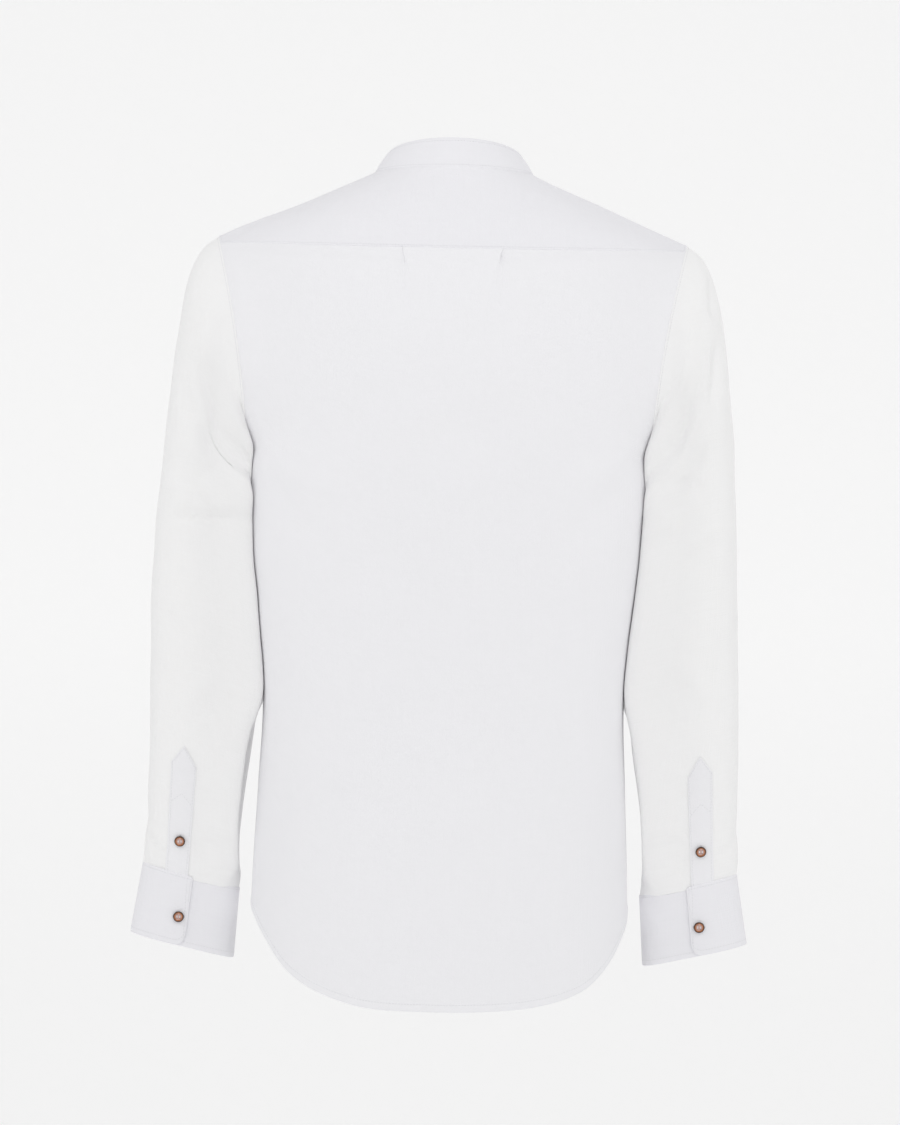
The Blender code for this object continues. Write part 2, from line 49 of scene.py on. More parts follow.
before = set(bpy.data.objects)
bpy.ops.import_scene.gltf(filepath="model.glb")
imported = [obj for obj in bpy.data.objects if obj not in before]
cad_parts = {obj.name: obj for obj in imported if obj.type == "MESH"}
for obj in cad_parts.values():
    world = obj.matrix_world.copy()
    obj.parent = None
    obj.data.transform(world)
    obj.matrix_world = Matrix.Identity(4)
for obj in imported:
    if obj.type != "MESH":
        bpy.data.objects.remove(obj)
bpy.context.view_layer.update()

MM = 0.001
BODY = "root"
MIRROR = np.array([-1, 1, 1])

# Body: half width at the side seams, and how far the middle of the back and front stand out
UNDERARM_Z = -258
SIDES = {
    "z": (-780, -675, -640, -560, -480, -400, -320, -280, -258),
    "half_width": (172, 173, 172, 168.5, 166, 174, 182.5, 185, 184),
}
BACK = {
    "z": (-780, -640, -480, -360, -258, -170, -120, -95, -75),
    "depth": (110, 106, 98, 105, 114, 116, 110, 104, 96),
}
FRONT = {
    "z": (-780, -640, -480, -360, -258, -190, -130, -72),
    "depth": (110, 111, 110, 117, 124, 122, 104, 78),
}
SQUARENESS = {"z": (-780, -258, -75), "power": (0.87, 0.87, 1.0)}
HEM_SIDE_Z, BACK_TAIL_Z, FRONT_TAIL_Z = -675, -759, -748
HEM_SWEEP = 1.65
HEM_ROWS = np.array([0, 1.8, 3.8, 5.6, 6.6, 7.4, 8.4, 10.5, 13.5, 17])  # its first rows' heights above it
# How much higher the hem hangs than its even curve, by the share of the turn from the centre back to the side
HEM_LEFT = {"share": (0, 0.2, 0.36, 0.45, 0.55, 0.69, 0.8, 0.9, 1), "rise": (0, 1, 4.6, 5.5, 6.5, 9, 8, 4, 0)}
HEM_RIGHT = {"share": (0, 0.42, 0.55, 0.69, 0.85, 1), "rise": (0, 0, -3.5, -4.6, -3, 0)}

# How many lines each grid has: across, then up, with those of each stretch in turn
BACK_COUNTS = (15, 7, 5, 5, 6, 54), (118, 66)
FRONT_COUNTS = (32, 34), (116, 58)
BACK_SKIRT, FRONT_SKIRT = 460, 455  # heights of their skirts, about
YOKE_COUNTS, BAND_COUNTS, SLEEVE_COUNTS = (88, 30), (150, 14), (96, 160)
CUFF_COUNTS, GAUNTLET_COUNTS = (84, 21), (15, 38)
FINE_LINE = 200  # points on a line that is only measured

# Armhole, an oval from the shoulder tip at 0 degrees back to the underarm at 180
SHOULDER_TIP = np.array([215.0, 0.0, -61.0])
UNDERARM = np.array([184.0, 0.0, UNDERARM_Z])
ARMHOLE_DEPTH = (62, 66)  # back, front
ARMHOLE_HOLLOW = (6, 14)
BACK_SEAM_ANGLE, FRONT_SEAM_ANGLE = 22.5, -36.0

# Neck seam and the band's top edge, round from the centre back at 0 to the centre front at 180
NECK_HALF_WIDTH, NECK_BACK, NECK_FRONT = 73, 62, 78
NECK_BACK_RISE, NECK_FRONT_DROP, NECK_DROP_POWER = 2.5, 72, 1.4
BAND_TOP_HALF_WIDTH, BAND_TOP_BACK, BAND_TOP_FRONT = 61.5, 50, 74
BAND_TOP_BACK_Z, BAND_TOP_SIDE_Z, BAND_TOP_FRONT_Z, BAND_FALL_POWER = 29.5, 17.5, -44, 1.5
YOKE_CORNER_ANGLE, YOKE_NECK_ANGLE, LAP_NECK_ANGLE = 84, 112, 192
FRONT_NECK = {"column": (0, 0.08, 0.2, 0.3, 0.4, 0.5), "angle": (192, 180, 168, 150, 131, 112)}
BAND_RISE, BAND_EASE = 1.4, (140, 162)
BAND_BELLY = 1.2  # how far the middle of the band's height stands out
BAND_CORNER = 12
YOKE_SEAM_SAG = 5.5
YOKE_FULLNESS, YOKE_FULLNESS_ENDS = 5, (27, 117)
YOKE_RISE, YOKE_RISE_REACH, YOKE_SHARE = 0.35, 8, 0.8  # its folded edge behind, and its share of the creases
YOKE_FULLNESS_WAY = np.array([0, 0.6, 0.8])
CHEST_FULLNESS = np.array([1, 1.6, 1])
LAP, LAP_RISE, LAP_EASE = 15, 2.6, (18, 45)

# Knife pleats: the fold's place and depth as shares of the turn from the centre back to the side, how far
# its edge and its under layer stand out, how long it runs down, and how far its fullness reaches towards
# the centre
PLEAT_COLUMN, PLEAT_DEPTH = 0.158, 0.024
PLEAT_EDGE, PLEAT_UNDER = 2.7, 0.9
PLEAT_LENGTH, PLEAT_WIDTH = 105, 0.17
PLEAT_TURN = 0.004
PLEAT_PRESSED, PLEAT_LOOSE = 0.28, 14  # how much of it stands out at the yoke, and where all of it does
PLEAT_FOLD, PLEAT_SPREAD = 24, 0.11  # how far down the fold has opened out, and how wide its edge grows below

# Sleeve rings from the armhole to the cuff, as seen from behind
SLEEVE = {
    "outer_x": (215, 231, 243, 251, 257, 264, 269.5, 271, 271, 274),
    "outer_y": (0, 2, 4, 6, 6, 4, 0, -6, -12, -16),
    "outer_z": (-61, -75, -103, -150, -205, -290, -385, -480, -570, -641),
    "inner_x": (184, 189.5, 188.5, 186, 183, 176, 169.5, 170, 179.5, 185.5),
    "inner_y": (0, -8, -20, -30, -35, -38, -36, -30, -26, -22),
    "inner_z": (-258, -261.5, -274, -298, -330, -390, -455, -515, -590, -663),
    "half_depth": (64, 65, 67, 69, 69, 65, 58, 49, 39, 30),
    "hollow": (1, 0.5, 0.1, 0, 0, 0, 0, 0, 0, 0),
}
SLEEVE_LAST = len(SLEEVE["outer_x"]) - 1
CUFF_FLATNESS = 1.6
SLEEVE_FLATNESS = (4.5, 0.2)  # how squarish its rings are towards the body behind, and elsewhere
# The shares of its length where its rings start to grow squarish, over which they do, and over which that
# ends
SQUARE_START, SQUARE_GROWTH, SQUARE_END = 0.1, 0.3, 0.12
SLEEVE_ENDS = np.array([0, 0.003, 0.007, 0.012])  # shares of its length of the close rows at its two ends
# How the inner side bulges against the body: the angle of its middle round the ring, the half width at
# which it has ended and the width of its ends; then the heights where it leaves the body, has left it, and
# ends
PRESS_TURN, PRESS_HEIGHTS = (158, 58, 36), (-466, -514, -662)
# The share of the way down over which it starts, the height over which it ends, the room that it leaves, the
# most that it moves, and the width of the bell that smooths the body's side for it
PRESS_START, PRESS_END, PRESS_ROOM, PRESS_MOST, PRESS_BELL = 0.1, 24, 0.7, 22, 4.0
PRESS_LEAST, PRESS_FULL = 0.001, 0.9  # shares under which it is nothing, and over which it is whole
BESIDE_SLEEVE = (140, 75, -650)  # the part of the body beside the sleeve: from x, up to y, down to z
# How far off the sleeve hangs once it has left the body, by side, and how much more towards the front; how
# far above that height this starts and over what height it grows; over what height it ends at the cuff; and
# the depth over which it still grows towards the front
PARTED, PARTED_SLOPE = {1: 7.4, -1: 3.4}, 0.14
PARTED_START, PARTED_GROWTH, PARTED_REACH, PARTED_DEPTH = 38, 60, 100, 60
# The large folds of both sleeves: place down and round, slope, half length round and along, and height
SLEEVE_FOLDS = np.array(
    [
        (0.15, 180, 0.0, 62, 0.055, 3.6),
        (0.33, 120, 0.0008, 60, 0.026, -3.0),
        (0.39, 118, 0.0008, 56, 0.026, 2.4),
        (0.51, 90, 0.0, 60, 0.022, -2.0),
        (0.36, -110, -0.0008, 60, 0.028, -3.0),
        (0.60, -90, 0.0004, 60, 0.028, -2.2),
        (0.955, 100, 0.0, 56, 0.014, -1.8),
        (0.925, 15, -0.0003, 50, 0.016, -1.5),
    ]
)

# Cuffs: the bottom ring, and the lap, whose end is towards the back
CUFF_BOTTOM = {"outer": (284, -16, -702), "inner": (189.5, -24, -724), "half_depth": 28}
CUFF_LAP_END, CUFF_UNDER_END = 93, -301
CUFF_RISE, CUFF_CORNER, CUFF_EASE = 1.4, 10, 45
CUFF_ENDS = np.array([0, 1.2, 2.6, 4.4, 6.8, 10, 14])  # angles of the close columns in from each end
CUFF_PROUD = 0.7
CUFF_HEIGHT, CUFF_OVER = 65, 2.0  # its usual height, and how far it reaches up over the sleeve's end

GAUNTLET_EDGES = (61.0, 88.0)
GAUNTLET_TOP, GAUNTLET_POINT, GAUNTLET_TUCK = 0.153, 0.022, 0.012  # the last one under the cuff
GAUNTLET_BOX = 0.105  # where its crossing line of stitches lies
GAUNTLET_LIFT, GAUNTLET_SHARE = 1.0, 0.8  # its distance off the sleeve, and its thickness to the sleeve's

# Creases of the cloth, by the piece and the side that they are on: 1 is the back and -1 the front. Each
# runs from x, z to x, z, and has the bow of its line, its half width and its height, all in millimetres.
CREASES = {
    ("sleeve_left", 1): (
        (227, -232, 187, -280, 4, 10.0, -5.2),
        (221, -276, 190, -316, 3, 12.0, 4.6),
        (262, -323, 186, -321, -3, 5.5, -3.2),
        (214, -112, 216, -196, 5, 13.0, 4.6),
        (246, -180, 214, -246, 8, 8.0, -2.2),
        (181, -365, 177, -432, -2, 7.0, 2.5),
        (262, -392, 226, -432, 5, 6.0, -1.6),
        (206, -452, 248, -496, -6, 8.0, 1.6),
        (272, -612, 246, -630, 3, 3.6, -2.2),
        (226, -619, 188, -620, -3, 3.4, -1.8),
        (222, -634, 190, -648, 2, 4.0, 1.6),
        (246, -560, 262, -606, 4, 6.0, 1.4),
    ),
    ("sleeve_right", 1): (
        (-239, -82, -242, -138, 3, 4.5, -4.0),
        (-242, -134, -235, -224, -4, 5.5, -4.8),
        (-214, -118, -216, -222, 5, 13.0, 4.8),
        (-236, -240, -196, -290, -6, 8.0, -3.2),
        (-226, -282, -190, -330, -4, 10.0, 2.9),
        (-178, -358, -175, -436, 2, 7.0, 2.5),
        (-256, -330, -206, -352, 4, 5.0, -1.8),
        (-214, -430, -250, -486, 6, 8.0, 1.6),
        (-272, -604, -248, -622, -3, 3.6, -2.2),
        (-228, -610, -190, -612, 3, 3.4, -1.8),
        (-224, -626, -192, -640, -2, 4.0, 1.6),
        (-250, -540, -266, -590, -4, 6.0, 1.4),
    ),
    ("sleeve_left", -1): (
        (238, -150, 196, -214, -8, 8.0, -3.2),
        (248, -236, 192, -300, 6, 7.0, -4.0),
        (240, -276, 190, -336, -5, 10.0, 3.2),
        (262, -372, 196, -404, 5, 6.0, -2.2),
        (210, -470, 252, -520, -6, 8.0, 1.8),
        (262, -600, 206, -626, 4, 4.0, -2.2),
    ),
    ("sleeve_right", -1): (
        (-240, -160, -200, -226, 8, 8.0, -2.9),
        (-250, -250, -190, -306, -6, 7.0, -4.0),
        (-238, -290, -188, -344, 5, 10.0, 3.1),
        (-258, -388, -200, -420, -5, 6.0, -2.0),
        (-262, -606, -210, -630, -4, 4.0, -2.2),
    ),
    ("back", 1): (
        (150, -186, 120, -194, 2, 3.0, 0.8),
        (176, -232, 110, -300, 10, 12.0, 1.7),
        (168, -262, 96, -352, 12, 11.0, -1.5),
        (-174, -226, -116, -290, -10, 12.0, 1.7),
        (-166, -256, -90, -346, -12, 11.0, -1.5),
        (62, -118, 70, -330, 6, 15.0, 1.7),
        (-54, -118, -66, -300, -6, 14.0, 1.4),
        (116, -104, 150, -168, 8, 12.0, 1.4),
        (-118, -104, -152, -172, -8, 12.0, 1.4),
        (40, -470, 58, -660, 8, 17.0, -1.5),
        (-44, -450, -64, -640, -8, 17.0, -1.5),
        (2, -420, -6, -640, 5, 20.0, 1.5),
        (112, -520, 128, -668, 6, 13.0, 1.5),
        (-112, -516, -130, -660, -6, 13.0, 1.5),
        (96, -556, 84, -580, 2, 9.0, -1.2),
        (52, -706, 34, -722, 2, 10.0, -1.4),
        (-78, -716, -96, -742, 2, 10.0, -1.4),
    ),
    ("front_left", -1): (
        (176, -224, 96, -176, -10, 11.0, 2.0),
        (176, -250, 84, -236, -8, 9.0, -1.7),
        (60, -300, 118, -420, 10, 14.0, 1.4),
        (40, -430, 66, -640, 8, 14.0, -1.4),
        (116, -470, 128, -660, 6, 13.0, 1.4),
        (70, -80, 118, -150, 8, 12.0, -1.5),
    ),
    ("front_right", -1): (
        (-176, -230, -100, -182, 10, 11.0, 1.8),
        (-174, -256, -80, -240, 8, 9.0, -1.7),
        (-58, -310, -110, -430, -10, 14.0, 1.4),
        (-44, -440, -62, -630, -8, 14.0, -1.4),
        (-112, -460, -130, -650, -6, 13.0, 1.4),
        (-72, -84, -116, -156, -8, 12.0, -1.5),
    ),
    ("yoke", 1): (
        (122, -26, 80, -62, 5, 9.0, 1.1),
        (-118, -28, -84, -60, -5, 9.0, 1.1),
        (60, -10, 76, -48, 4, 8.0, -1.0),
        (-62, -10, -70, -46, -4, 8.0, -1.0),
    ),
}
# Where the creases start and how far they take to grow: in from a side or armhole, another seam, or the lap
AT_SIDE, AT_SEAM, AT_LAP = (0, 30), (0, 14), (26, 26)
CREASE_FADE, CREASE_FACING = 1 / 3, 0.4  # the share of a crease's length, and the facing, over which it fades
# The soft unevenness of all the cloth: waves by their length in millimetres and height
SWELLS = ((150, 0.7), (95, 0.45), (61, 0.25), (38, 0.13), (23, 0.07))
SWELL_SEED, SWELL_WAYS, SWELL_UPRIGHT = 11, 5, 0.55  # how many ways they run, and how upright those are

HEM_DEPTH, HEM_STEP, HEM_RISE = 7.0, 1.2, 0.35

# Sewing: how far each row of stitches lies from its edge
EDGE_STITCH, BAND_TOP_STITCH, HEM_STITCH, FRONT_STITCH = 1.6, 3.0, 6.2, 30.0
GAUNTLET_STITCH, CUFF_STITCH = 1.8, 4.0
STITCH_RINGS = {
    "along": (-0.5, -0.34, 0, 0.34, 0.5),
    "round": (0.3, 0.85, 1, 0.85, 0.3),
    "lift": (-0.9, 0.15, 0.45, 0.15, -0.9),
}
STITCH_SIDES = 5
STITCH_SHARE = 0.8  # how much of the way to the next stitch is thread
STRAND_RADIUS, STRAND_APART, STRAND_LIFT, STRAND_LENGTH, STRAND_SIDES = 0.25, 0.22, 0.1, 2.2, 6
STRAND_RINGS = {
    "along": (-0.5, -0.42, -0.2, 0, 0.2, 0.42, 0.5),
    "round": (1,) * 7,
    "lift": (-5, -0.4, 0.6, 1, 0.6, -0.4, -5),
}

# Buttons, turned: radius, thickness, and the profile from the middle of the dish round to the middle of the
# back
BUTTON_RADIUS, BUTTON_THICKNESS = 5.0, 2.4
BUTTON_PROFILE = {
    "out": (0, 0.3, 0.56, 0.68, 0.76, 0.86, 0.95, 1.0, 0.97, 0.86, 0.5, 0),
    "up": (0.62, 0.62, 0.66, 0.8, 0.97, 1.0, 0.9, 0.62, 0.3, 0.05, 0, 0),
}
BUTTON_SECTORS, BUTTON_RINGS = 64, 60
BUTTON_POLE = 0.02  # radius of its first and last ring, which one face closes
HOLE_PLACE, HOLE_RADIUS, HOLE_WALL, HOLE_DEEP = 1.25, 0.62, 0.24, 1.3
BUTTON_LIFT = 0.5
BUTTON_TONES = (0, 0.52, 0.63, 0.76, 0.84)  # shares of its radius: dish up to the second, rim to the fourth
BUTTONHOLE_LENGTH, BUTTONHOLE_WIDTH, BUTTONHOLE_STEP, BUTTONHOLE_THREAD = 10.8, 1.6, 0.42, 0.24
BAR_AWAY, BAR_LENGTH, BAR_THREAD = 0.3, 1.7, 0.3  # the bar across each end: how far past it, and its size


# ---------------------------------------------------------------- shapes


def smooth_curve(steps, values, at):
    """A cubic through (steps, values), whose slope at each step is the mean of those beside it."""
    steps, values = np.array(steps, float), np.array(values, float)
    at = np.clip(at, steps[0], steps[-1])
    slopes = np.gradient(values, steps)
    first = np.clip(np.searchsorted(steps, at, side="right") - 1, 0, len(steps) - 2)
    width = steps[first + 1] - steps[first]
    t = (at - steps[first]) / width
    start = (1 + 2 * t) * (1 - t) ** 2 * values[first] + t * (1 - t) ** 2 * width * slopes[first]
    return start + t**2 * (3 - 2 * t) * values[first + 1] + t**2 * (t - 1) * width * slopes[first + 1]


def along_table(table, column, at):
    """The value of one column of a table at `at` of its first column."""
    return smooth_curve(table[next(iter(table))], table[column], at)


def ease(value):
    """0 below 0 and 1 above 1, with a smooth climb between."""
    t = np.clip(value, 0, 1)
    return t * t * (3 - 2 * t)


def unit(vectors):
    return vectors / np.maximum(np.linalg.norm(vectors, axis=-1, keepdims=True), 1e-9)


def dot(one, other):
    return np.sum(one * other, axis=-1)


def points_of(x, y, z):
    return np.stack(np.broadcast_arrays(x, y, z), axis=-1).astype(float)


def lengths_along(line):
    """How far along a line each of its points lies."""
    return np.append(0, np.cumsum(np.linalg.norm(np.diff(line, axis=0), axis=1)))


def on_line(at, lengths, values):
    """The values of a line's points at some lengths along it."""
    return np.stack([np.interp(at, lengths, values[:, axis]) for axis in range(3)], axis=1)


def corner_cut(line, height, radius):
    """The share of the height that is missing along a line, whose two ends are rounded off by quarter
    circles."""
    along = lengths_along(line)
    inside = np.clip(radius - np.minimum(along, along[-1] - along), 0, radius)
    return (radius - np.sqrt(radius**2 - inside**2)) / height


def armhole(angle):
    """The left armhole seam: an upright oval, hollowed towards the body by the square of the sine of the
    angle."""
    turn = np.radians(angle)
    sine = np.sin(turn)
    oval = (SHOULDER_TIP + UNDERARM) / 2 + np.cos(turn)[..., None] * (SHOULDER_TIP - UNDERARM) / 2
    hollow, depth = (np.where(sine > 0, *pair) for pair in (ARMHOLE_HOLLOW, ARMHOLE_DEPTH))
    return oval + points_of(-hollow * sine**2, depth * sine, 0)


def neck(angle):
    """The neck seam: half of one oval behind, half of a longer one in front, which drops towards the
    throat."""
    sine, cosine = np.sin(np.radians(angle)), np.cos(np.radians(angle))
    drop = (NECK_FRONT_DROP - NECK_BACK_RISE) * np.maximum(-cosine, 0) ** NECK_DROP_POWER
    y = np.where(cosine < 0, NECK_FRONT, NECK_BACK) * cosine
    return points_of(NECK_HALF_WIDTH * sine, y, NECK_BACK_RISE * cosine - drop)


def band_top(angle):
    """The collar band's top edge, a smaller oval above the neck seam."""
    sine, cosine = np.sin(np.radians(angle)), np.cos(np.radians(angle))
    middle = (BAND_TOP_BACK - BAND_TOP_FRONT) / 2
    rise = BAND_TOP_BACK_Z - BAND_TOP_SIDE_Z
    fall = (BAND_TOP_FRONT_Z - BAND_TOP_SIDE_Z + rise) * np.maximum(-cosine, 0) ** BAND_FALL_POWER
    y = middle + (BAND_TOP_BACK - middle) * cosine
    return points_of(BAND_TOP_HALF_WIDTH * sine, y, BAND_TOP_SIDE_Z + rise * cosine + fall)


def skirt(table, tail_z, turn_shares, up, start_x, facing, uneven=None):
    """The body below the underarm: squarish ovals, at heights that run from the curved hem up to the
    underarm.

    turn_shares is a grid of shares of the turn from the centre to the side, and up a column of shares of
    the height.
    """
    sweep = 0.5 * (1 - np.cos(np.pi * np.clip(turn_shares, 0, 1) ** HEM_SWEEP))
    hem = tail_z + (HEM_SIDE_Z - tail_z) * sweep
    if uneven:
        hem = hem + along_table(uneven, "rise", turn_shares)
    z = hem + (UNDERARM_Z - hem) * up
    power = along_table(SQUARENESS, "power", UNDERARM_Z)
    turn = turn_shares * np.pi / 2
    width = along_table(SIDES, "half_width", z)
    x = start_x + (width - start_x) * np.sin(turn) ** power
    return points_of(x, facing * along_table(table, "depth", z) * np.cos(turn).clip(0) ** power, z)


def skirt_rows(height, count):
    """Shares of the height from the hem up to the underarm, close together where the hem is turned up."""
    return np.concatenate([HEM_ROWS[:-1] / height, np.linspace(HEM_ROWS[-1] / height, 1, count)[:-1]])


def body_rows(start, end, depth, turn_shares):
    """Rows from points `start` round to points `end`, each a part of a squarish oval that stands out by
    `depth`."""
    power = along_table(SQUARENESS, "power", end[..., 2])[:, None]
    whole = np.arccos(np.minimum(abs(end[:, 1]) / depth, 1)[:, None] ** (1 / power))
    turn = turn_shares * whole
    out = (np.sin(turn).clip(0) / np.sin(whole)) ** power
    back = (1 - np.cos(turn).clip(0) ** power) / (1 - np.cos(whole).clip(0) ** power)
    return start[:, None] + (end - start)[:, None] * np.stack([out, back, out**2], axis=-1)


def back_upper(turn_shares, up):
    """The back from the underarm up to the yoke seam, whose middle sags a little."""
    end = armhole(180 - (180 - BACK_SEAM_ANGLE) * up)
    z = UNDERARM_Z + (armhole(BACK_SEAM_ANGLE)[2] - UNDERARM_Z) * up - YOKE_SEAM_SAG * ease(up)
    depth = along_table(BACK, "depth", z)
    return body_rows(points_of(0, depth, z), end, depth, turn_shares)


def pleated(share, open_share):
    """Where each column of the back lies once the pleat is folded: on up to the fold, back under it, and
    on again. open_share is 0 where the pleat has opened out and 1 at the seam."""
    whole = 1 + 2 * PLEAT_DEPTH
    fold, turned = PLEAT_COLUMN, PLEAT_COLUMN + PLEAT_DEPTH
    beyond = np.where(share <= turned, 2 * fold - share, share - 2 * PLEAT_DEPTH)
    folded = np.where(share <= fold, share, beyond)
    return open_share * folded + (1 - open_share) * share / whole


def pleat_lift(share, below):
    """How far the pleat's layers stand out: its edge most, its under layer less, and nothing beyond
    them. The edge grows wide and low further down."""
    turn = PLEAT_TURN + PLEAT_SPREAD * ease(below * 1.5)
    towards = ease(1 - (PLEAT_COLUMN - share) / PLEAT_WIDTH)
    under = PLEAT_UNDER * ease((PLEAT_COLUMN + PLEAT_DEPTH - share) / PLEAT_DEPTH)
    past = ease((share - PLEAT_COLUMN) / turn + 0.5)
    return ease(1 - below) * (PLEAT_EDGE * towards * (1 - past) + under * past)


def back_grid():
    """The back, from the wearer's left side seam to the right, with both knife pleats."""
    whole = 1 + 2 * PLEAT_DEPTH
    fold, turned, flat = PLEAT_COLUMN, PLEAT_COLUMN + PLEAT_DEPTH, PLEAT_COLUMN + 2 * PLEAT_DEPTH
    stops = (0, fold - PLEAT_TURN, fold + PLEAT_TURN, turned - PLEAT_TURN, turned + PLEAT_TURN, flat, whole)
    parts = [np.linspace(*ends, count)[:-1] for *ends, count in zip(stops, stops[1:], BACK_COUNTS[0])]
    half = np.append(np.concatenate(parts), whole)
    lower_rows, upper_rows = skirt_rows(BACK_SKIRT, BACK_COUNTS[1][0]), np.linspace(0, 1, BACK_COUNTS[1][1])
    height = abs(back_upper(np.array([[0.0]]), upper_rows)[:, 0, 2])
    seam_z = -height[-1]
    z = np.concatenate([BACK_TAIL_Z + (UNDERARM_Z - BACK_TAIL_Z) * lower_rows, -height])[:, None]
    below = (seam_z - z) / PLEAT_LENGTH
    open_share = ease(1 - below * PLEAT_LENGTH / PLEAT_FOLD)
    shares = pleated(half[None, :], open_share)
    under_yoke = PLEAT_PRESSED + (1 - PLEAT_PRESSED) * ease(below * PLEAT_LENGTH / PLEAT_LOOSE)
    lift = pleat_lift(half[None, :], below) * under_yoke
    upper, sides = back_upper(shares[len(lower_rows) :], upper_rows), []
    for uneven in (HEM_LEFT, HEM_RIGHT):
        lower = skirt(BACK, BACK_TAIL_Z, shares[: len(lower_rows)], lower_rows[:, None], 0, 1, uneven)
        sides.append(np.concatenate([lower, upper]) + points_of(0, lift, 0))
    return np.concatenate([sides[0][:, :0:-1], sides[1] * MIRROR], axis=1)


def yoke_outer(count):
    """The yoke's outer edge on the wearer's left: along the back seam, then along the armhole, by its
    length."""
    seam = back_upper(np.linspace(0, 1, FINE_LINE)[None, :], np.array([1.0]))[0]
    arm = armhole(np.linspace(BACK_SEAM_ANGLE, FRONT_SEAM_ANGLE, 80))
    line = np.concatenate([seam, arm[1:]])
    length = lengths_along(line)
    corner = length[len(seam) - 1]
    on_seam = max(int(count * corner / length[-1]), 2)
    on_arm = np.linspace(corner, length[-1], count - on_seam + 1)[1:]
    return on_line(np.concatenate([np.linspace(0, corner, on_seam), on_arm]), length, line), on_seam


def yoke_grid():
    """The yoke: straight lines from the neck seam out to the back seam and armholes, swelling over the
    back."""
    outer, on_seam = yoke_outer(YOKE_COUNTS[0])
    first = np.linspace(0, YOKE_CORNER_ANGLE, on_seam)
    last = np.linspace(YOKE_CORNER_ANGLE, YOKE_NECK_ANGLE, len(outer) - on_seam + 1)[1:]
    angles = np.concatenate([first, last])
    share = np.linspace(1, 0, YOKE_COUNTS[1])[:, None, None]
    start, end = YOKE_FULLNESS_ENDS
    swell = YOKE_FULLNESS * share**2 * (1 - share) * 27 / 4 * ease((end - angles) / (end - start))[:, None]
    inner = neck(angles)
    half = inner + (outer - inner) * share + swell * YOKE_FULLNESS_WAY
    return np.concatenate([half[:, ::-1], (half * MIRROR)[:, 1:]], axis=1)


def front_upper(columns, up):
    """The front above the underarm: a surface between the row below, the neck and yoke seam, the lap's
    edge and the armhole. Lines run up from the bottom edge to the top edge, bent as the nearer side is."""
    right = armhole(-180 + (180 + FRONT_SEAM_ANGLE) * up)
    corner = neck(np.array([YOKE_NECK_ANGLE, LAP_NECK_ANGLE]))
    lap_z = UNDERARM_Z + (corner[1, 2] - UNDERARM_Z) * up
    left = points_of(-LAP, -along_table(FRONT, "depth", lap_z), lap_z)
    left = left + (corner[1] - left[-1]) * up[:, None]
    bottom = body_rows(left[:1], right[:1], -left[:1, 1], columns[None, :])[0]
    on_neck = neck(smooth_curve(FRONT_NECK["column"], FRONT_NECK["angle"], columns))
    split = FRONT_NECK["column"][-1]
    on_yoke = corner[0] + (right[-1] - corner[0]) * ((columns - split) / (1 - split))[:, None]
    top = np.where((columns < split)[:, None], on_neck, on_yoke)
    rise = up[:, None] ** CHEST_FULLNESS
    second = FRONT_NECK["column"][1]
    to_side = ease((columns - second) / (1 - second))[None, :, None]
    rising = bottom * (1 - rise[:, None]) + top * rise[:, None]
    bend = [side - side[0] * (1 - rise) - side[-1] * rise for side in (left, right)]
    return rising + bend[0][:, None] * (1 - to_side) + bend[1][:, None] * to_side


def front_grid():
    """The wearer's left front, from the lap's edge at the centre to the side seam."""
    (inner, outer), (low, high) = FRONT_COUNTS
    split = FRONT_NECK["column"][-1]
    columns = np.concatenate([np.linspace(0, split, inner)[:-1], np.linspace(split, 1, outer)])
    rows = skirt_rows(FRONT_SKIRT, low)
    shares = np.broadcast_to(columns, (len(rows), len(columns)))
    lower = skirt(FRONT, FRONT_TAIL_Z, shares, rows[:, None], -LAP, -1)
    return np.concatenate([lower, front_upper(columns, np.linspace(0, 1, high))])


def band_grid():
    """The collar band: from the neck seam up to its top edge, round from its left end to its right end
    under it. Its middle stands out a little, its ends pass each other, and its upper corners are rounded
    off."""
    angles = np.linspace(LAP_NECK_ANGLE, -LAP_NECK_ANGLE, BAND_COUNTS[0])
    seam, top = neck(angles), band_top(angles)
    start, end = BAND_EASE
    spiral = BAND_RISE * np.sign(angles) * ease((abs(angles) - start) / (end - start))
    corner = corner_cut(top, np.linalg.norm(top - seam, axis=1), BAND_CORNER)
    share = np.linspace(0, 1, BAND_COUNTS[1])[:, None]
    grid = seam + (top - seam) * (share * (1 - corner))[..., None]
    out = unit(grid * [1, 1, 0])
    belly = BAND_BELLY * np.sin(np.pi * share)
    return grid + out * (spiral + belly)[..., None]


def sleeve_base(down, angles):
    """The sleeve without folds: slanting, somewhat squarish ovals between its outer and inner edge. down
    is the share of the way from the armhole to the cuff, and both arguments are grids of one shape."""
    row = down * SLEEVE_LAST
    numbers = np.arange(SLEEVE_LAST + 1)
    at = {name: smooth_curve(numbers, values, row) for name, values in SLEEVE.items()}
    outer = points_of(at["outer_x"], at["outer_y"], at["outer_z"])
    inner = points_of(at["inner_x"], at["inner_y"], at["inner_z"])
    cosine, sine = np.cos(np.radians(angles)), np.sin(np.radians(angles))
    back = sine > 0
    deeper = np.where(back, *(depth - SLEEVE["half_depth"][0] for depth in ARMHOLE_DEPTH)) * at["hollow"]
    hollow = np.where(back, *ARMHOLE_HOLLOW) * at["hollow"]
    squarish = ease((down - SQUARE_START) / SQUARE_GROWTH) * ease((1 - down) / SQUARE_END)
    power = 2 + squarish * np.where(back & (cosine < 0), *SLEEVE_FLATNESS)
    reach = (abs(cosine) ** power + abs(sine) ** power) ** (-1 / power)
    ring = (outer + inner) / 2 + (reach * cosine)[..., None] * (outer - inner) / 2
    return ring + points_of(-hollow * sine**2, reach * sine * (at["half_depth"] + deeper), 0)


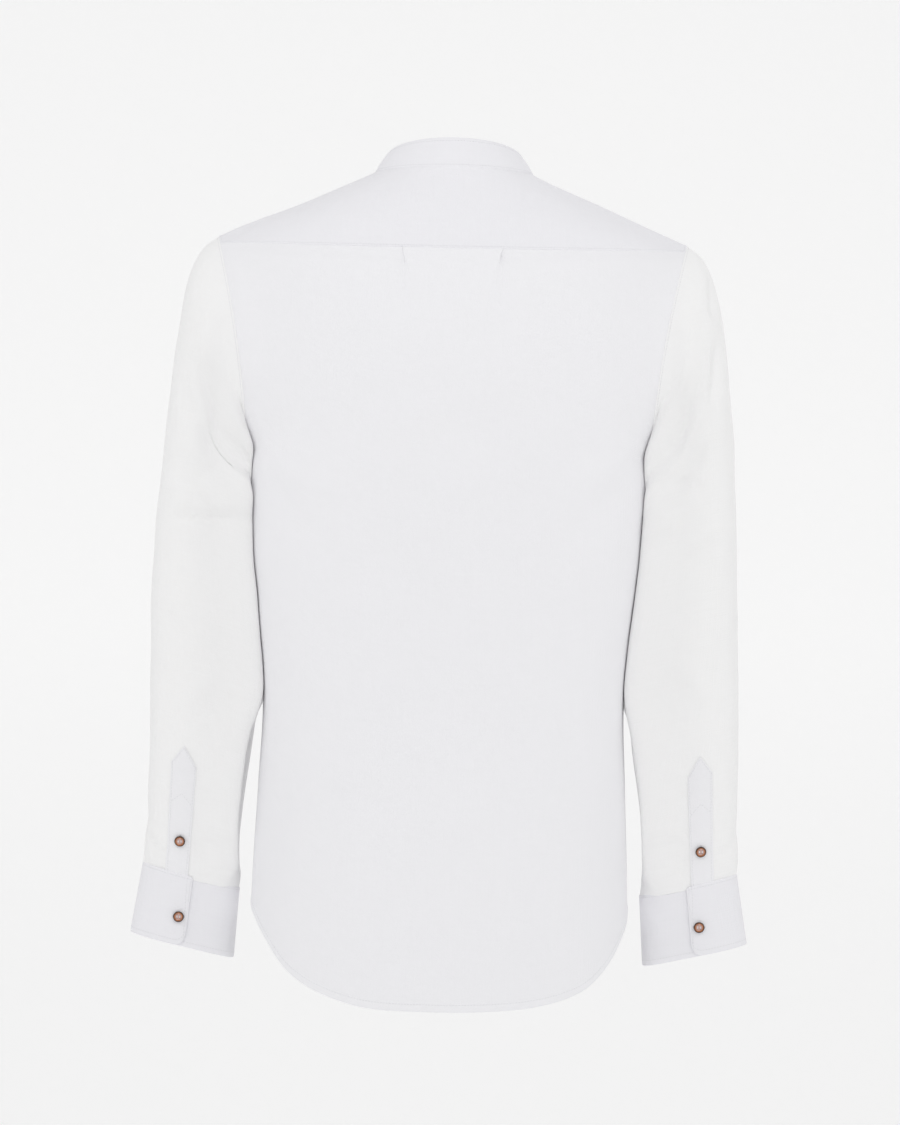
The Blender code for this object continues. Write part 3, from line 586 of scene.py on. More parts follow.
def sleeve_lift(down, angles):
    """The large folds: each a bell across the sleeve's length, along a sloping line part of the way
    round."""
    total = np.zeros(np.broadcast(down, angles).shape)
    for at, angle, slope, half_turn, half_length, height in SLEEVE_FOLDS:
        turn = (angles - angle + 180) % 360 - 180
        across = (down - at - slope * turn) / half_length
        total += height * np.exp(-(across**2)) * ease(1 - abs(turn) / half_turn)
    return total


def sleeve_patch(down, angles, wraps=False):
    """Part of the left sleeve with its large folds."""
    base = sleeve_base(down, angles)
    return base + normals_of(base, wraps) * sleeve_lift(down, angles)[..., None]


def sleeve_lines():
    """How far down each row of the left sleeve lies, from the cuff up to the armhole, and each column's
    angle."""
    columns, rows = SLEEVE_COUNTS
    low, high = 1 - SLEEVE_ENDS, SLEEVE_ENDS[::-1]
    down = np.concatenate([low[:-1], np.linspace(low[-1], high[0], rows), high[1:]])
    return down[:, None], np.linspace(-180, 180, columns + 1)[None, :-1]


def press_share():
    """Where round its rings the left sleeve bulges against the body: a bell with a flat top, from the
    armhole down."""
    down, angles = sleeve_lines()
    angle, half_turn, soft = PRESS_TURN
    return ease((half_turn - abs((angles - angle + 180) % 360 - 180)) / soft) * ease(down / PRESS_START)


def cuff_grid():
    """The left cuff: a strip from the bottom ring to the sleeve's last ring, round from its under end to
    its lap's end in a slight spiral, with its lower corners rounded off."""
    first, last = CUFF_UNDER_END + CUFF_ENDS, CUFF_LAP_END - CUFF_ENDS[::-1]
    angles = np.concatenate([first[:-1], np.linspace(first[-1], last[0], CUFF_COUNTS[0]), last[1:]])
    cosine, sine = np.cos(np.radians(angles))[:, None], np.sin(np.radians(angles))[:, None]
    seam = {side: [SLEEVE[f"{side}_{axis}"][-1] for axis in "xyz"] for side in ("outer", "inner")}
    rings, outward = [], []
    for ring, depth in ((CUFF_BOTTOM, CUFF_BOTTOM["half_depth"]), (seam, SLEEVE["half_depth"][-1])):
        middle = np.add(ring["outer"], ring["inner"]) / 2
        side = np.subtract(ring["outer"], ring["inner"]) / 2
        power = 2 + CUFF_FLATNESS * (ring is CUFF_BOTTOM) * ((sine > 0) & (cosine < 0))
        reach = (abs(cosine) ** power + abs(sine) ** power) ** (-1 / power)
        rings.append(middle + reach * (cosine * side + sine * np.array([0, depth, 0])))
        outward.append(unit(cosine * side / (side @ side) + sine * np.array([0, 1 / depth, 0])))
    corner = corner_cut(rings[0], np.linalg.norm(rings[1] - rings[0], axis=1), CUFF_CORNER)
    spiral = ease((angles - CUFF_LAP_END) / CUFF_EASE + 2) - ease((CUFF_UNDER_END - angles) / CUFF_EASE + 2)
    share = np.linspace(0, 1 + CUFF_OVER / CUFF_HEIGHT, CUFF_COUNTS[1])[:, None]
    up = (corner + (1 - corner) * share)[..., None]
    lift = CUFF_PROUD + CUFF_RISE * spiral
    return rings[0] + (rings[1] - rings[0]) * up + outward[0] * lift[:, None]


def gauntlet_grid():
    """The left gauntlet: the sleeve's own surface between two angles, from the cuff up to a pointed top."""
    low, high = GAUNTLET_EDGES
    columns, rows = GAUNTLET_COUNTS
    angles = np.linspace(low, high, columns)[None, :]
    point = GAUNTLET_POINT * (1 - abs(angles - (low + high) / 2) / (high - low) * 2)
    share = np.linspace(-GAUNTLET_TUCK, 1, rows)[:, None]
    down, angles = np.broadcast_arrays(1 - (GAUNTLET_TOP + point) * share, angles)
    return sleeve_patch(np.minimum(down, 1), angles)


# ---------------------------------------------------------------- cloth


def normals_of(points, wraps=False):
    """Unit normals of a grid, out of the garment: across the columns, crossed with up the rows."""
    if wraps:
        along = np.roll(points, -1, axis=1) - np.roll(points, 1, axis=1)
    else:
        along = np.gradient(points, axis=1)
    return unit(np.cross(along, np.gradient(points, axis=0)))


def crease_lift(piece, points, normals):
    """How far a piece's creases push it out: each a bell across a bowed line, fading to nothing at its
    two ends."""
    total = np.zeros(points.shape[:2])
    rows = [(side, *row) for (name, side), rows in CREASES.items() if name == piece for row in rows]
    for side, x0, z0, x1, z1, bow, width, height in rows:
        start, run = np.array([x0, z0]), np.array([x1 - x0, z1 - z0])
        length = np.linalg.norm(run)
        way = run / length
        away = points[..., [0, 2]] - start
        t = dot(away, way) / length
        across = away[..., 0] * -way[1] + away[..., 1] * way[0] - bow * 4 * t * (1 - t)
        fade = ease(t / CREASE_FADE) * ease((1 - t) / CREASE_FADE)
        facing = ease(normals[..., 1] * side / CREASE_FACING)
        total += height * np.exp(-((across / width) ** 2)) * fade * facing
    return total


def swell_lift(points):
    """The soft unevenness of the cloth: waves of several lengths in many directions, added up."""
    chance = np.random.default_rng(SWELL_SEED)
    total = np.zeros(points.shape[:2])
    for length, height in SWELLS:
        for _ in range(SWELL_WAYS):
            way = unit(chance.normal(size=3) * [1, 1, SWELL_UPRIGHT])
            total += height / 2 * np.sin(2 * np.pi * dot(points, way) / length + chance.uniform(0, 2 * np.pi))
    return total


EDGE_TURNS = {  # how a grid is turned so that its first row is an edge, and how it is turned back
    "bottom": (lambda a: a, lambda a: a),
    "top": (lambda a: a[::-1], lambda a: a[::-1]),
    "first": (lambda a: a.swapaxes(0, 1), lambda a: a.swapaxes(0, 1)),
    "last": (lambda a: a[:, ::-1].swapaxes(0, 1), lambda a: a.swapaxes(0, 1)[:, ::-1]),
}


class Cloth:
    """A piece of cloth: a grid on its outer face, its normals, its thickness, and whether its columns
    join up."""

    def __init__(self, name, points, thickness, wraps=False):
        self.name, self.points, self.thickness, self.wraps = name, np.array(points), thickness, wraps
        self.normals = normals_of(self.points, wraps)

    def mirrored(self, name):
        return Cloth(name, (self.points * MIRROR)[:, ::-1], self.thickness, self.wraps)

    def lift(self, height):
        self.points = self.points + self.normals * np.asarray(height)[..., None]
        self.normals = normals_of(self.points, self.wraps)

    def from_edge(self, edge):
        """The grid turned so that its first row is an edge, with its normals and each point's distance
        in."""
        turn = EDGE_TURNS[edge][0]
        points = turn(self.points)
        steps = np.linalg.norm(np.diff(points, axis=0), axis=-1)
        distance = np.concatenate([np.zeros((1, steps.shape[1])), np.cumsum(steps, axis=0)])
        return points, turn(self.normals), distance

    def edge_distance(self, edge):
        """Each point's distance in from an edge, in the grid's own order."""
        return EDGE_TURNS[edge][1](self.from_edge(edge)[2])

    def drape(self, share, **held):
        """Gives the cloth its creases and unevenness. Each edge where it is held has the distance in
        from it at which they start, and the distance over which they grow."""
        height = crease_lift(self.name, self.points, self.normals) + swell_lift(self.points)
        for edge, (start, reach) in held.items():
            height = height * ease((self.edge_distance(edge) - start) / reach)
        self.lift(height * share)

    def pull_back(self, distance, *edges):
        """Moves edges in along the cloth, so that the two rounded edges at a seam meet in a fine groove."""
        for edge in edges:
            points = self.from_edge(edge)[0]
            points[0] += unit(points[1] - points[0]) * distance

    def inset(self, edge, distance):
        """A line at a distance in from an edge, with its normals."""
        points, normals, along = self.from_edge(edge)
        row = np.clip(np.sum(along <= distance, axis=0) - 1, 0, len(points) - 2)
        line = np.arange(points.shape[1])
        low, high = along[row, line], along[row + 1, line]
        t = ((distance - low) / (high - low))[:, None]
        place = points[row, line] * (1 - t) + points[row + 1, line] * t
        return place, unit(normals[row, line] * (1 - t) + normals[row + 1, line] * t)

    def nearest(self, place):
        """The grid's point nearest to a place, with its normal."""
        at = np.argmin(np.linalg.norm(self.points - place, axis=-1))
        at = np.unravel_index(at, self.points.shape[:2])
        return self.points[at], self.normals[at]

    def flat(self):
        """Each point's place on the flat cloth in metres: its length along its row from the middle, and
        up its column."""
        points = np.concatenate([self.points, self.points[:, :1]], axis=1) if self.wraps else self.points
        along = np.cumsum(np.linalg.norm(np.diff(points, axis=1), axis=-1), axis=1)
        along = np.concatenate([np.zeros((len(points), 1)), along], axis=1)
        along -= along[:, [points.shape[1] // 2]]
        up = np.cumsum(np.linalg.norm(np.diff(points, axis=0), axis=-1), axis=0)
        up = np.concatenate([np.zeros((1, points.shape[1])), up])
        return np.stack([along, up], axis=-1) * MM


def make_mesh(name, points, faces, flat=None):
    """A mesh from arrays: points in millimetres, faces as arrays of corners, and a flat place for every
    corner."""
    mesh = bpy.data.meshes.new(name)
    sizes = np.concatenate([np.full(len(part), part.shape[1]) for part in faces])
    corners = np.concatenate([part.ravel() for part in faces])
    mesh.vertices.add(len(points))
    mesh.loops.add(len(corners))
    mesh.polygons.add(len(sizes))
    mesh.vertices.foreach_set("co", (points * MM).astype(np.float32).ravel())
    mesh.loops.foreach_set("vertex_index", corners.astype(np.int32))
    mesh.polygons.foreach_set("loop_start", (np.cumsum(sizes) - sizes).astype(np.int32))
    mesh.polygons.foreach_set("use_smooth", np.ones(len(sizes), bool))
    if flat is not None:
        places = np.concatenate([part.reshape(-1, 2) for part in flat])
        layer = mesh.uv_layers.new(name="cloth")
        layer.data.foreach_set("uv", places.astype(np.float32).ravel())
    mesh.update(calc_edges=True)
    mesh.validate()
    return mesh


def grid_faces(rows, columns, wraps):
    """Corners of a grid's faces as row and column numbers, where a wrapped grid's last column is its
    first."""
    r, c = np.meshgrid(np.arange(rows - 1), np.arange(columns if wraps else columns - 1), indexing="ij")
    r, c = r.ravel(), c.ravel()
    return np.stack([r, r, r + 1, r + 1], axis=1), np.stack([c, c + 1, c + 1, c], axis=1)


RIM_TURNS = np.radians([36, 72, 108, 144])


def borders(rows, columns, wraps):
    """The open edges of a grid, as row and column numbers once round each, and those of the points
    beside them."""
    if wraps:
        ring, same = np.arange(columns), np.zeros(columns, int)
        return [(same, ring, same + 1, ring), (same + rows - 1, ring[::-1], same + rows - 2, ring[::-1])]
    across, up = np.arange(columns - 1), np.arange(rows - 1)
    r = np.concatenate([across * 0, up, across * 0 + rows - 1, rows - 1 - up])
    c = np.concatenate([across, up * 0 + columns - 1, columns - 1 - across, up * 0])
    return [(r, c, np.clip(r, 1, rows - 2), np.clip(c, 1, columns - 2))]


def cloth_mesh(cloth):
    """A closed sheet: the outer face, the inner face a thickness in, and a half-round rim along each
    open edge."""
    points, normals = cloth.points, cloth.normals
    rows, columns = points.shape[:2]
    count = rows * columns
    inner = points - normals * cloth.thickness
    flat = cloth.flat()
    r, c = grid_faces(rows, columns, cloth.wraps)
    outer_faces = r * columns + c % columns
    corner_flat = flat[r, c]
    verts, faces, flats = [points.reshape(-1, 3), inner.reshape(-1, 3)], [outer_faces], [corner_flat]
    faces.append(outer_faces[:, ::-1] + count)
    flats.append(corner_flat[:, ::-1])
    total, half, turns = 2 * count, cloth.thickness / 2, RIM_TURNS[:, None, None]
    for row, column, beside_row, beside_column in borders(rows, columns, cloth.wraps):
        edge, beside, normal = points[row, column], points[beside_row, beside_column], normals[row, column]
        away = np.cross(np.roll(edge, -1, axis=0) - np.roll(edge, 1, axis=0), normal)
        away = unit(away) * np.sign(dot(away, edge - beside))[:, None]
        between = edge - normal * cloth.thickness / 2
        between = between + normal * np.cos(turns) * half + away * np.sin(turns) * half
        verts.append(between.reshape(-1, 3))
        start = row * columns + column
        middle_rings = total + np.arange(between[..., 0].size).reshape(len(turns), -1)
        rings = np.concatenate([start[None], middle_rings, start[None] + count])
        total += middle_rings.size
        step = np.roll(rings, -1, axis=1)
        faces.append(np.stack([rings[:-1], rings[1:], step[1:], step[:-1]], axis=-1).reshape(-1, 4))
        place = flat[row, column]
        onward = np.roll(place, -1, axis=0)
        if cloth.wraps:  # the last step of a ring goes on past its start
            onward[-1] = flat[row[0], columns] if column[0] == 0 else flat[row[0], column[-1]]
        shape = (len(rings) - 1, len(edge), 2)
        spread = [np.broadcast_to(part, shape) for part in (place, place, onward, onward)]
        flats.append(np.stack(spread, axis=2).reshape(-1, 4, 2))
    return make_mesh(cloth.name, np.concatenate(verts), faces, flats)


def add_piece(name, mesh, material, *nodes, slot=None):
    """Puts a mesh in the scene, riding on the shirt's body, in place of the nodes that it stands for."""
    made = bpy.data.objects.new(name, mesh)
    bpy.context.scene.collection.objects.link(made)
    mesh.materials.append(material)
    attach(made, BODY)
    if nodes:
        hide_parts(*nodes)
    return made


def add_cloth(cloth, material, cut, *lines):
    """A sheet of cloth in place of its node, with its rows of stitches. Its cut is not used."""
    made = add_piece("cloth_" + cloth.name, cloth_mesh(cloth), material, cloth.name, slot="linen")
    sewn = [add_stitches("stitches_" + cloth.name, lines)] if lines else []


# ---------------------------------------------------------------- sewing and buttons


def tube_faces(rings, sides):
    """Corners of a tube's faces, with its two end rings closed by one face each."""
    r, c = grid_faces(rings, sides, True)
    around = r * sides + c % sides
    first, last = np.arange(sides)[::-1], (rings - 1) * sides + np.arange(sides)
    return around, np.stack([first, last])


def repeat_tube(centres, ways, outs, length, radius, shape, sides):
    """Many short tubes as one set of arrays: each lies along its way, and is as thick and lifted as its
    shape says at each ring."""
    across = np.cross(outs, ways)
    along, round_, lift = (np.array(shape[key], float) for key in ("along", "round", "lift"))
    angle = 2 * np.pi * np.arange(sides) / sides
    step = along[:, None] * length
    side = round_[:, None] * radius * np.cos(angle)
    up = round_[:, None] * radius * np.sin(angle) + lift[:, None] * radius
    points = centres[:, None, None]
    for way, far in ((ways, step), (across, side), (outs, up)):
        points = points + way[:, None, None] * far[None, ..., None]
    around, ends = tube_faces(len(along), sides)
    shift = (np.arange(len(centres)) * points[0, ..., 0].size)[:, None, None]
    return points.reshape(-1, 3), [(part[None] + shift).reshape(-1, part.shape[1]) for part in (around, ends)]


def along_line(line, normals, pitch):
    """Evenly spaced places along a line, with the line's way and the cloth's normal at each."""
    length = lengths_along(line)
    count = max(int(length[-1] / pitch), 2)
    at = (np.arange(count) + 0.5) * length[-1] / count
    places = ((at, line), (at - pitch / 3, line), (at + pitch / 3, line), (at, normals))
    place, before, after, normal = (on_line(where, length, values) for where, values in places)
    way = unit(after - before)
    out = unit(normal - way * dot(normal, way)[:, None])
    return place, way, out


def add_stitches(name, lines):
    """Rows of stitches: short arched threads whose two ends go down into the cloth."""
    sizes = bpy.context.scene.shirt_sizes
    pitch, radius = sizes.stitch_length / MM, sizes.thread_thickness / 2 / MM
    sets = [along_line(line, normals, pitch) for line, normals in lines]
    place, way, out = (np.concatenate(part) for part in zip(*sets))
    points, faces = repeat_tube(place, way, out, pitch * STITCH_SHARE, radius, STITCH_RINGS, STITCH_SIDES)
    return add_piece(name, make_mesh(name, points, faces), material_named("thread"))


def button_surface():
    """A turned button on a grid: the profile carried round its axis, pushed down in four round holes
    near the middle. Each push is whole inside a hole and fades to nothing across its wall."""
    steps = np.hypot(np.diff(BUTTON_PROFILE["out"]), np.diff(BUTTON_PROFILE["up"]) * 0.5)
    arc = np.append(0, np.cumsum(steps))
    at = np.linspace(0, arc[-1], BUTTON_RINGS)
    out = np.interp(at, arc, BUTTON_PROFILE["out"]) * BUTTON_RADIUS
    up = np.interp(at, arc, BUTTON_PROFILE["up"]) * BUTTON_THICKNESS
    out[0] = out[-1] = BUTTON_POLE
    angle = 2 * np.pi * np.arange(BUTTON_SECTORS) / BUTTON_SECTORS
    x, y = out[:, None] * np.cos(angle), out[:, None] * np.sin(angle)
    z = np.repeat(up[:, None], BUTTON_SECTORS, axis=1)
    top = (np.arange(BUTTON_RINGS) < BUTTON_RINGS // 2)[:, None]
    for sx in (-1, 1):
        for sy in (-1, 1):
            far = np.hypot(x - sx * HOLE_PLACE, y - sy * HOLE_PLACE)
            z = z - HOLE_DEEP * ease((HOLE_RADIUS - far) / HOLE_WALL + 0.5) * top
    return points_of(x, y, z), out


def axes_at(normal):
    """Two directions across a normal, the second as upright as it can be."""
    up = unit(np.array([0, 0, 1]) - normal * normal[2])
    return np.cross(up, normal), up


def place_on(points, centre, normal):
    side, up = axes_at(normal)
    return centre + points[..., [0]] * side + points[..., [1]] * up + points[..., [2]] * normal


def add_button(node, cloth, upright):
    """A button with its thread, standing on the cloth where its node is, over its buttonhole."""
    low, high = (np.array(corner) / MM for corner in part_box(node))
    middle = (low + high) / 2
    near, normal = cloth.nearest(middle)
    centre = middle - normal * dot(middle - near, normal) + normal * BUTTON_LIFT
    grid, out = button_surface()
    rings, sectors = grid.shape[:2]
    r, c = grid_faces(rings, sectors, True)
    around = (r * sectors + c % sectors)[:, ::-1]
    ends = np.stack([np.arange(sectors), ((rings - 1) * sectors + np.arange(sectors))[::-1]])
    flat = grid[..., :2].reshape(-1, 2) * MM
    points = place_on(grid, centre, normal).reshape(-1, 3)
    mesh = make_mesh(node, points, [around, ends], [flat[around], flat[ends]])
    add_piece("turned_" + node, mesh, material_named("horn"), node, slot="button")
    add_button_thread(node, centre, normal)
    add_buttonhole(node, near, normal, centre, upright)


def add_button_thread(node, centre, normal):
    """Two pairs of upright strands through the four holes, each an arch from one hole to the next."""
    side, up = axes_at(normal)
    ways, outs = np.repeat(up[None], 4, axis=0), np.repeat(normal[None], 4, axis=0)
    shift = np.add.outer((-HOLE_PLACE, HOLE_PLACE), (-STRAND_APART, STRAND_APART)).reshape(-1, 1)
    place = centre + normal * (BUTTON_THICKNESS * BUTTON_PROFILE["up"][0] + STRAND_LIFT) + side * shift
    length = HOLE_PLACE * STRAND_LENGTH
    points, faces = repeat_tube(place, ways, outs, length, STRAND_RADIUS, STRAND_RINGS, STRAND_SIDES)
    name = "thread_" + node
    add_piece(name, make_mesh(name, points, faces), material_named("thread"))


def add_buttonhole(node, near, normal, centre, upright):
    """A worked buttonhole: close short threads laid across both sides of a slit under the button."""
    side, up = axes_at(normal)
    way, across = (up, side) if upright else (side, up)
    half = BUTTONHOLE_LENGTH / 2
    steps = np.arange(-half, half + 0.01, BUTTONHOLE_STEP)
    base = centre - normal * dot(centre - near, normal)
    width = BUTTONHOLE_WIDTH / 2
    place = np.concatenate([base + way * steps[:, None] + across * sign * width for sign in (-1, 1)])
    ends = np.stack([base + way * sign * (half + BAR_AWAY) for sign in (-1, 1)])
    ways, outs = np.repeat(across[None], len(place), axis=0), np.repeat(normal[None], len(place), axis=0)
    size = BUTTONHOLE_WIDTH, BUTTONHOLE_THREAD
    points, faces = repeat_tube(place, ways, outs, *size, STITCH_RINGS, STITCH_SIDES)
    size = BAR_LENGTH * BUTTONHOLE_WIDTH, BAR_THREAD
    bars = repeat_tube(ends, ways[:2], outs[:2], *size, STITCH_RINGS, STRAND_SIDES)
    faces += [part + len(points) for part in bars[1]]
    name = "buttonhole_" + node.removeprefix("button_")
    add_piece(name, make_mesh(name, np.concatenate([points, bars[0]]), faces), material_named("thread"))


# ---------------------------------------------------------------- materials


class Value:
    """A number in a material's tree, so that shader maths is written as Python expressions."""

    def __init__(self, shader, socket):
        self.shader, self.socket = shader, socket

    def math(self, operation, one, other=None):
        given = {0: one} if other is None else {0: one, 1: other}
        return self.shader.add("ShaderNodeMath", {"operation": operation}, given)

    def __add__(self, other):
        return self.math("ADD", self, other)

    def __mul__(self, other):
        return self.math("MULTIPLY", self, other)

    def __sub__(self, other):
        return self.math("SUBTRACT", self, other)

    def __rsub__(self, other):
        return self.math("SUBTRACT", other, self)

    def __truediv__(self, other):
        return self.math("DIVIDE", self, other)

    def __rtruediv__(self, other):
        return self.math("DIVIDE", other, self)

    def cosine(self):
        return self.math("COSINE", self)

    def clamp(self):
        return self.shader.add("ShaderNodeClamp", {}, {"Value": self})

    __radd__, __rmul__ = __add__, __mul__


class Shader:
    """A material's tree. `add` makes any node: its settings are set first, then its sockets' values or
    links."""

    def __init__(self, name):
        self.material = bpy.data.materials.new(name)
        self.material.use_nodes = True
        self.tree = self.material.node_tree
        self.tree.nodes.clear()

    def add(self, kind, settings, sockets, output=0):
        node = self.tree.nodes.new(kind)
        for key, value in settings.items():
            if key == "stops":
                for element in list(node.color_ramp.elements)[1:]:
                    node.color_ramp.elements.remove(element)
                for number, (at, colour) in enumerate(value):
                    element = node.color_ramp.elements[0] if number == 0 else node.color_ramp.elements.new(at)
                    element.position, element.color = at, colour
            else:
                setattr(node, key, value)
        for key, value in sockets.items():
            if isinstance(value, Value):
                self.tree.links.new(value.socket, node.inputs[key])
            else:
                node.inputs[key].default_value = value
        return Value(self, node.outputs[output]) if node.outputs else None

    def mix(self, factor, one, other):
        sockets = {0: factor, 6: one, 7: other}
        return self.add("ShaderNodeMix", {"data_type": "RGBA", "clamp_factor": True}, sockets, output=2)

    def noise(self, place, scale, detail=2.0, roughness=0.5):
        sockets = {"Vector": place, "Scale": scale, "Detail": detail, "Roughness": roughness}
        return self.add("ShaderNodeTexNoise", {"noise_dimensions": "3D"}, sockets)

    def grain(self, place, across, along, detail):
        """Noise whose grains are so many metres across and along."""
        stretched = self.add("ShaderNodeMapping", {}, {"Vector": place, "Scale": (1 / across, 1 / along, 1)})
        return self.noise(stretched, 1.0, detail)

    def surface(self, **sockets):
        """Ends the material with one surface, whose sockets are given with _ for a space."""
        named = {key.replace("_", " "): value for key, value in sockets.items()}
        surface = self.add("ShaderNodeBsdfPrincipled", {}, named)
        self.add("ShaderNodeOutputMaterial", {}, {"Surface": surface})
        return self.material


def material_named(name):
    return bpy.data.materials.get(name) or {"thread": thread_material, "horn": button_material}[name]()


def colour(value):
    return (*value, 1.0)


def linen_material(name, whole, shade, crumple):
    """Linen: a plain weave whose threads go over and under by the product of two cosines, slubs along
    both threads, a little uneven colour, and fine crumples."""
    sizes = bpy.context.scene.shirt_sizes
    shader = Shader(name)
    place = shader.add("ShaderNodeUVMap", {"uv_map": "cloth"}, {})
    across = shader.add("ShaderNodeSeparateXYZ", {}, {"Vector": place})
    upward = Value(shader, across.socket.node.outputs[1])
    turn = 2 * math.pi / sizes.weave_pitch
    weave = (across * turn).cosine() * (upward * turn).cosine()
    slub = shader.grain(place, 0.0011, 0.045, 1.5) + shader.grain(place, 0.05, 0.0011, 1.5) - 1.0
    cloudy = shader.grain(place, 0.09, 0.13, 3.0)
    fine = shader.grain(place, 0.016, 0.022, 3.0)
    # The weave term lightens the tone where the threads stand high and darkens it between them: painted light
    # and shade on the weave's relief.
    tone = (0.5 + slub * 0.7 + (cloudy - 0.5) * 0.6 + (fine - 0.5) * 0.2 + weave * 0.06).clamp()
    base = shader.mix(tone, colour(shade), colour(whole))
    rough = (0.86 + slub * 0.25).clamp()
    height = weave * 0.30 + slub * 0.9 + (fine - 0.5) * crumple
    bump = shader.add("ShaderNodeBump", {}, {"Strength": 0.5, "Distance": 0.0004, "Height": height})
    gloss = {"Roughness": rough, "Sheen_Weight": 0.08, "Sheen_Roughness": 0.5, "Specular_IOR_Level": 0.25}
    return shader.surface(Base_Color=base, Normal=bump, **gloss)


def thread_material():
    """Sewing thread: fine, slightly glossy, with a short grain."""
    shader = Shader("thread")
    place = shader.add("ShaderNodeTexCoord", {}, {}, output=3)
    grain = shader.noise(place, 2600.0, 1.0)
    base = shader.mix(grain, colour((0.70, 0.70, 0.73)), colour(bpy.context.scene.shirt_colours.thread))
    bump = shader.add("ShaderNodeBump", {}, {"Strength": 0.3, "Distance": 0.0001, "Height": grain})
    return shader.surface(Base_Color=base, Roughness=0.6, Normal=bump)


def button_material():
    """A turned horn-like button: a dark rim round a paler dish, streaked across, with a soft polish."""
    colours = bpy.context.scene.shirt_colours
    shader = Shader("horn")
    place = shader.add("ShaderNodeUVMap", {"uv_map": "cloth"}, {})
    far = shader.add("ShaderNodeVectorMath", {"operation": "LENGTH"}, {0: place}, output=1)
    far = far / (BUTTON_RADIUS * MM)
    streak = shader.grain(place, 0.0012, 0.007, 3.0)
    mottle = shader.noise(place, 900.0, 2.0)
    tones = (colours.dish, colours.dish, colours.rim, colours.rim, colours.rim_edge)
    stops = [(at, colour(tone)) for at, tone in zip(BUTTON_TONES, tones)]
    ring = shader.add("ShaderNodeValToRGB", {"stops": stops}, {"Fac": (far + (streak - 0.5) * 0.16).clamp()})
    base = shader.mix(((streak - 0.35) * 1.6).clamp() * 0.45, ring, colour(colours.rim_edge))
    rough = (0.30 + mottle * 0.14).clamp()
    gloss = {"Roughness": rough, "Coat_Weight": 0.3, "Coat_Roughness": 0.12, "Specular_IOR_Level": 0.3}
    return shader.surface(Base_Color=base, **gloss)


def floor_material():
    """A plain pale studio sheet, which glows a little so that it stays even."""
    colours = bpy.context.scene.shirt_colours
    shader = Shader("studio_sheet")
    place = shader.add("ShaderNodeTexCoord", {}, {}, output=3)
    grain = shader.noise(place, 60.0, 2.0)
    base = shader.mix(grain, colour([value * 0.985 for value in colours.floor]), colour(colours.floor))
    glow = {"Emission_Color": colour((1, 1, 1)), "Emission_Strength": FLOOR_GLOW}
    return shader.surface(Base_Color=base, Roughness=0.9, **glow)


# ---------------------------------------------------------------- settings


def length_property(name, description, default):
    return FloatProperty(name=name, description=description, default=default, unit="LENGTH")


def colour_property(name, description, default):
    limits = {"min": 0, "max": 1}
    return FloatVectorProperty(name=name, description=description, subtype="COLOR", default=default, **limits)


class ShirtSizes(bpy.types.PropertyGroup):
    """Sizes that change how the shirt is finished."""

    cloth_thickness: length_property("Cloth", "Thickness of the shirt's cloth and its folded edges", 0.0008)
    stiff_thickness: length_property("Band and cuffs", "Thickness of the collar band and cuffs", 0.0019)
    weave_pitch: length_property("Weave", "Distance over which the weave repeats", 0.0011)
    stitch_length: length_property("Stitch", "Distance from one stitch to the next", 0.0027)
    thread_thickness: length_property("Thread", "Thickness of the sewing thread", 0.00042)
    seam_groove: length_property("Seam groove", "How far each edge is pulled back from its seam", 0.00027)
    crease_share: FloatProperty(
        name="Creases",
        description="Height of the creases, as a share of the usual",
        default=1.0,
        min=0,
        max=2,
        subtype="FACTOR",
    )


class ShirtColours(bpy.types.PropertyGroup):
    """Colours of the shirt and the studio."""

    body: colour_property("Body", "Linen of the body", (0.915, 0.912, 0.934))
    body_shade: colour_property("Body shade", "The darker tone of the body's linen", (0.895, 0.892, 0.913))
    # Both sleeve tones are lighter than the body's: painted light, standing in for the light that passes
    # through the sleeves' single layer of cloth.
    sleeve: colour_property("Sleeves", "Linen of the sleeves, which is the warmest", (0.958, 0.956, 0.956))
    sleeve_shade: colour_property("Sleeve shade", "The darker tone of the sleeves", (0.925, 0.922, 0.921))
    # Both stiff tones, which the yoke uses too, are a little darker than the body's: partly the doubled
    # linen's own cooler tone, partly painted shade on the collar, yoke and cuffs.
    stiff: colour_property("Band and cuffs", "Linen of the collar band and cuffs", (0.9, 0.895, 0.925))
    stiff_shade: colour_property("Band shade", "The darker tone of the band and cuffs", (0.871, 0.866, 0.896))
    thread: colour_property("Thread", "Sewing thread", (0.88, 0.88, 0.89))
    dish: colour_property("Button dish", "The paler middle of a button", (0.72, 0.47, 0.42))
    rim: colour_property("Button rim", "The rim of a button", (0.44, 0.165, 0.06))
    rim_edge: colour_property("Button edge", "The outer edge of a button", (0.05, 0.017, 0.009))
    floor: colour_property("Floor", "The studio sheet", (0.86, 0.86, 0.86))


# ---------------------------------------------------------------- operators


def cloth_sizes():
    sizes = bpy.context.scene.shirt_sizes
    return sizes.cloth_thickness / MM, sizes.stiff_thickness / MM, sizes.seam_groove / MM, sizes.crease_share


def linen(kind):
    """The linen of the body, the sleeves, or the stiff pieces."""
    name = "linen_" + kind
    colours = bpy.context.scene.shirt_colours
    crumple = {"body": 0.5, "sleeve": 0.7, "stiff": 0.3}[kind]
    tones = getattr(colours, kind), getattr(colours, kind + "_shade")
    return bpy.data.materials.get(name) or linen_material(name, *tones, crumple)


def hem(cloth):
    """Doubles the cloth along its hem: it stands out as far as the hem's depth, then steps down."""
    distance = cloth.edge_distance("bottom")
    cloth.lift(HEM_RISE * (1 - ease((distance - HEM_DEPTH + HEM_STEP / 2) / HEM_STEP)))


def back_cloth():
    """The back, draped and hemmed."""
    thick, _, groove, share = cloth_sizes()
    back = Cloth("back", back_grid(), thick)
    back.drape(share, first=AT_SIDE, last=AT_SIDE, top=AT_SEAM)
    hem(back)
    back.pull_back(groove, "first", "last", "top")
    return back


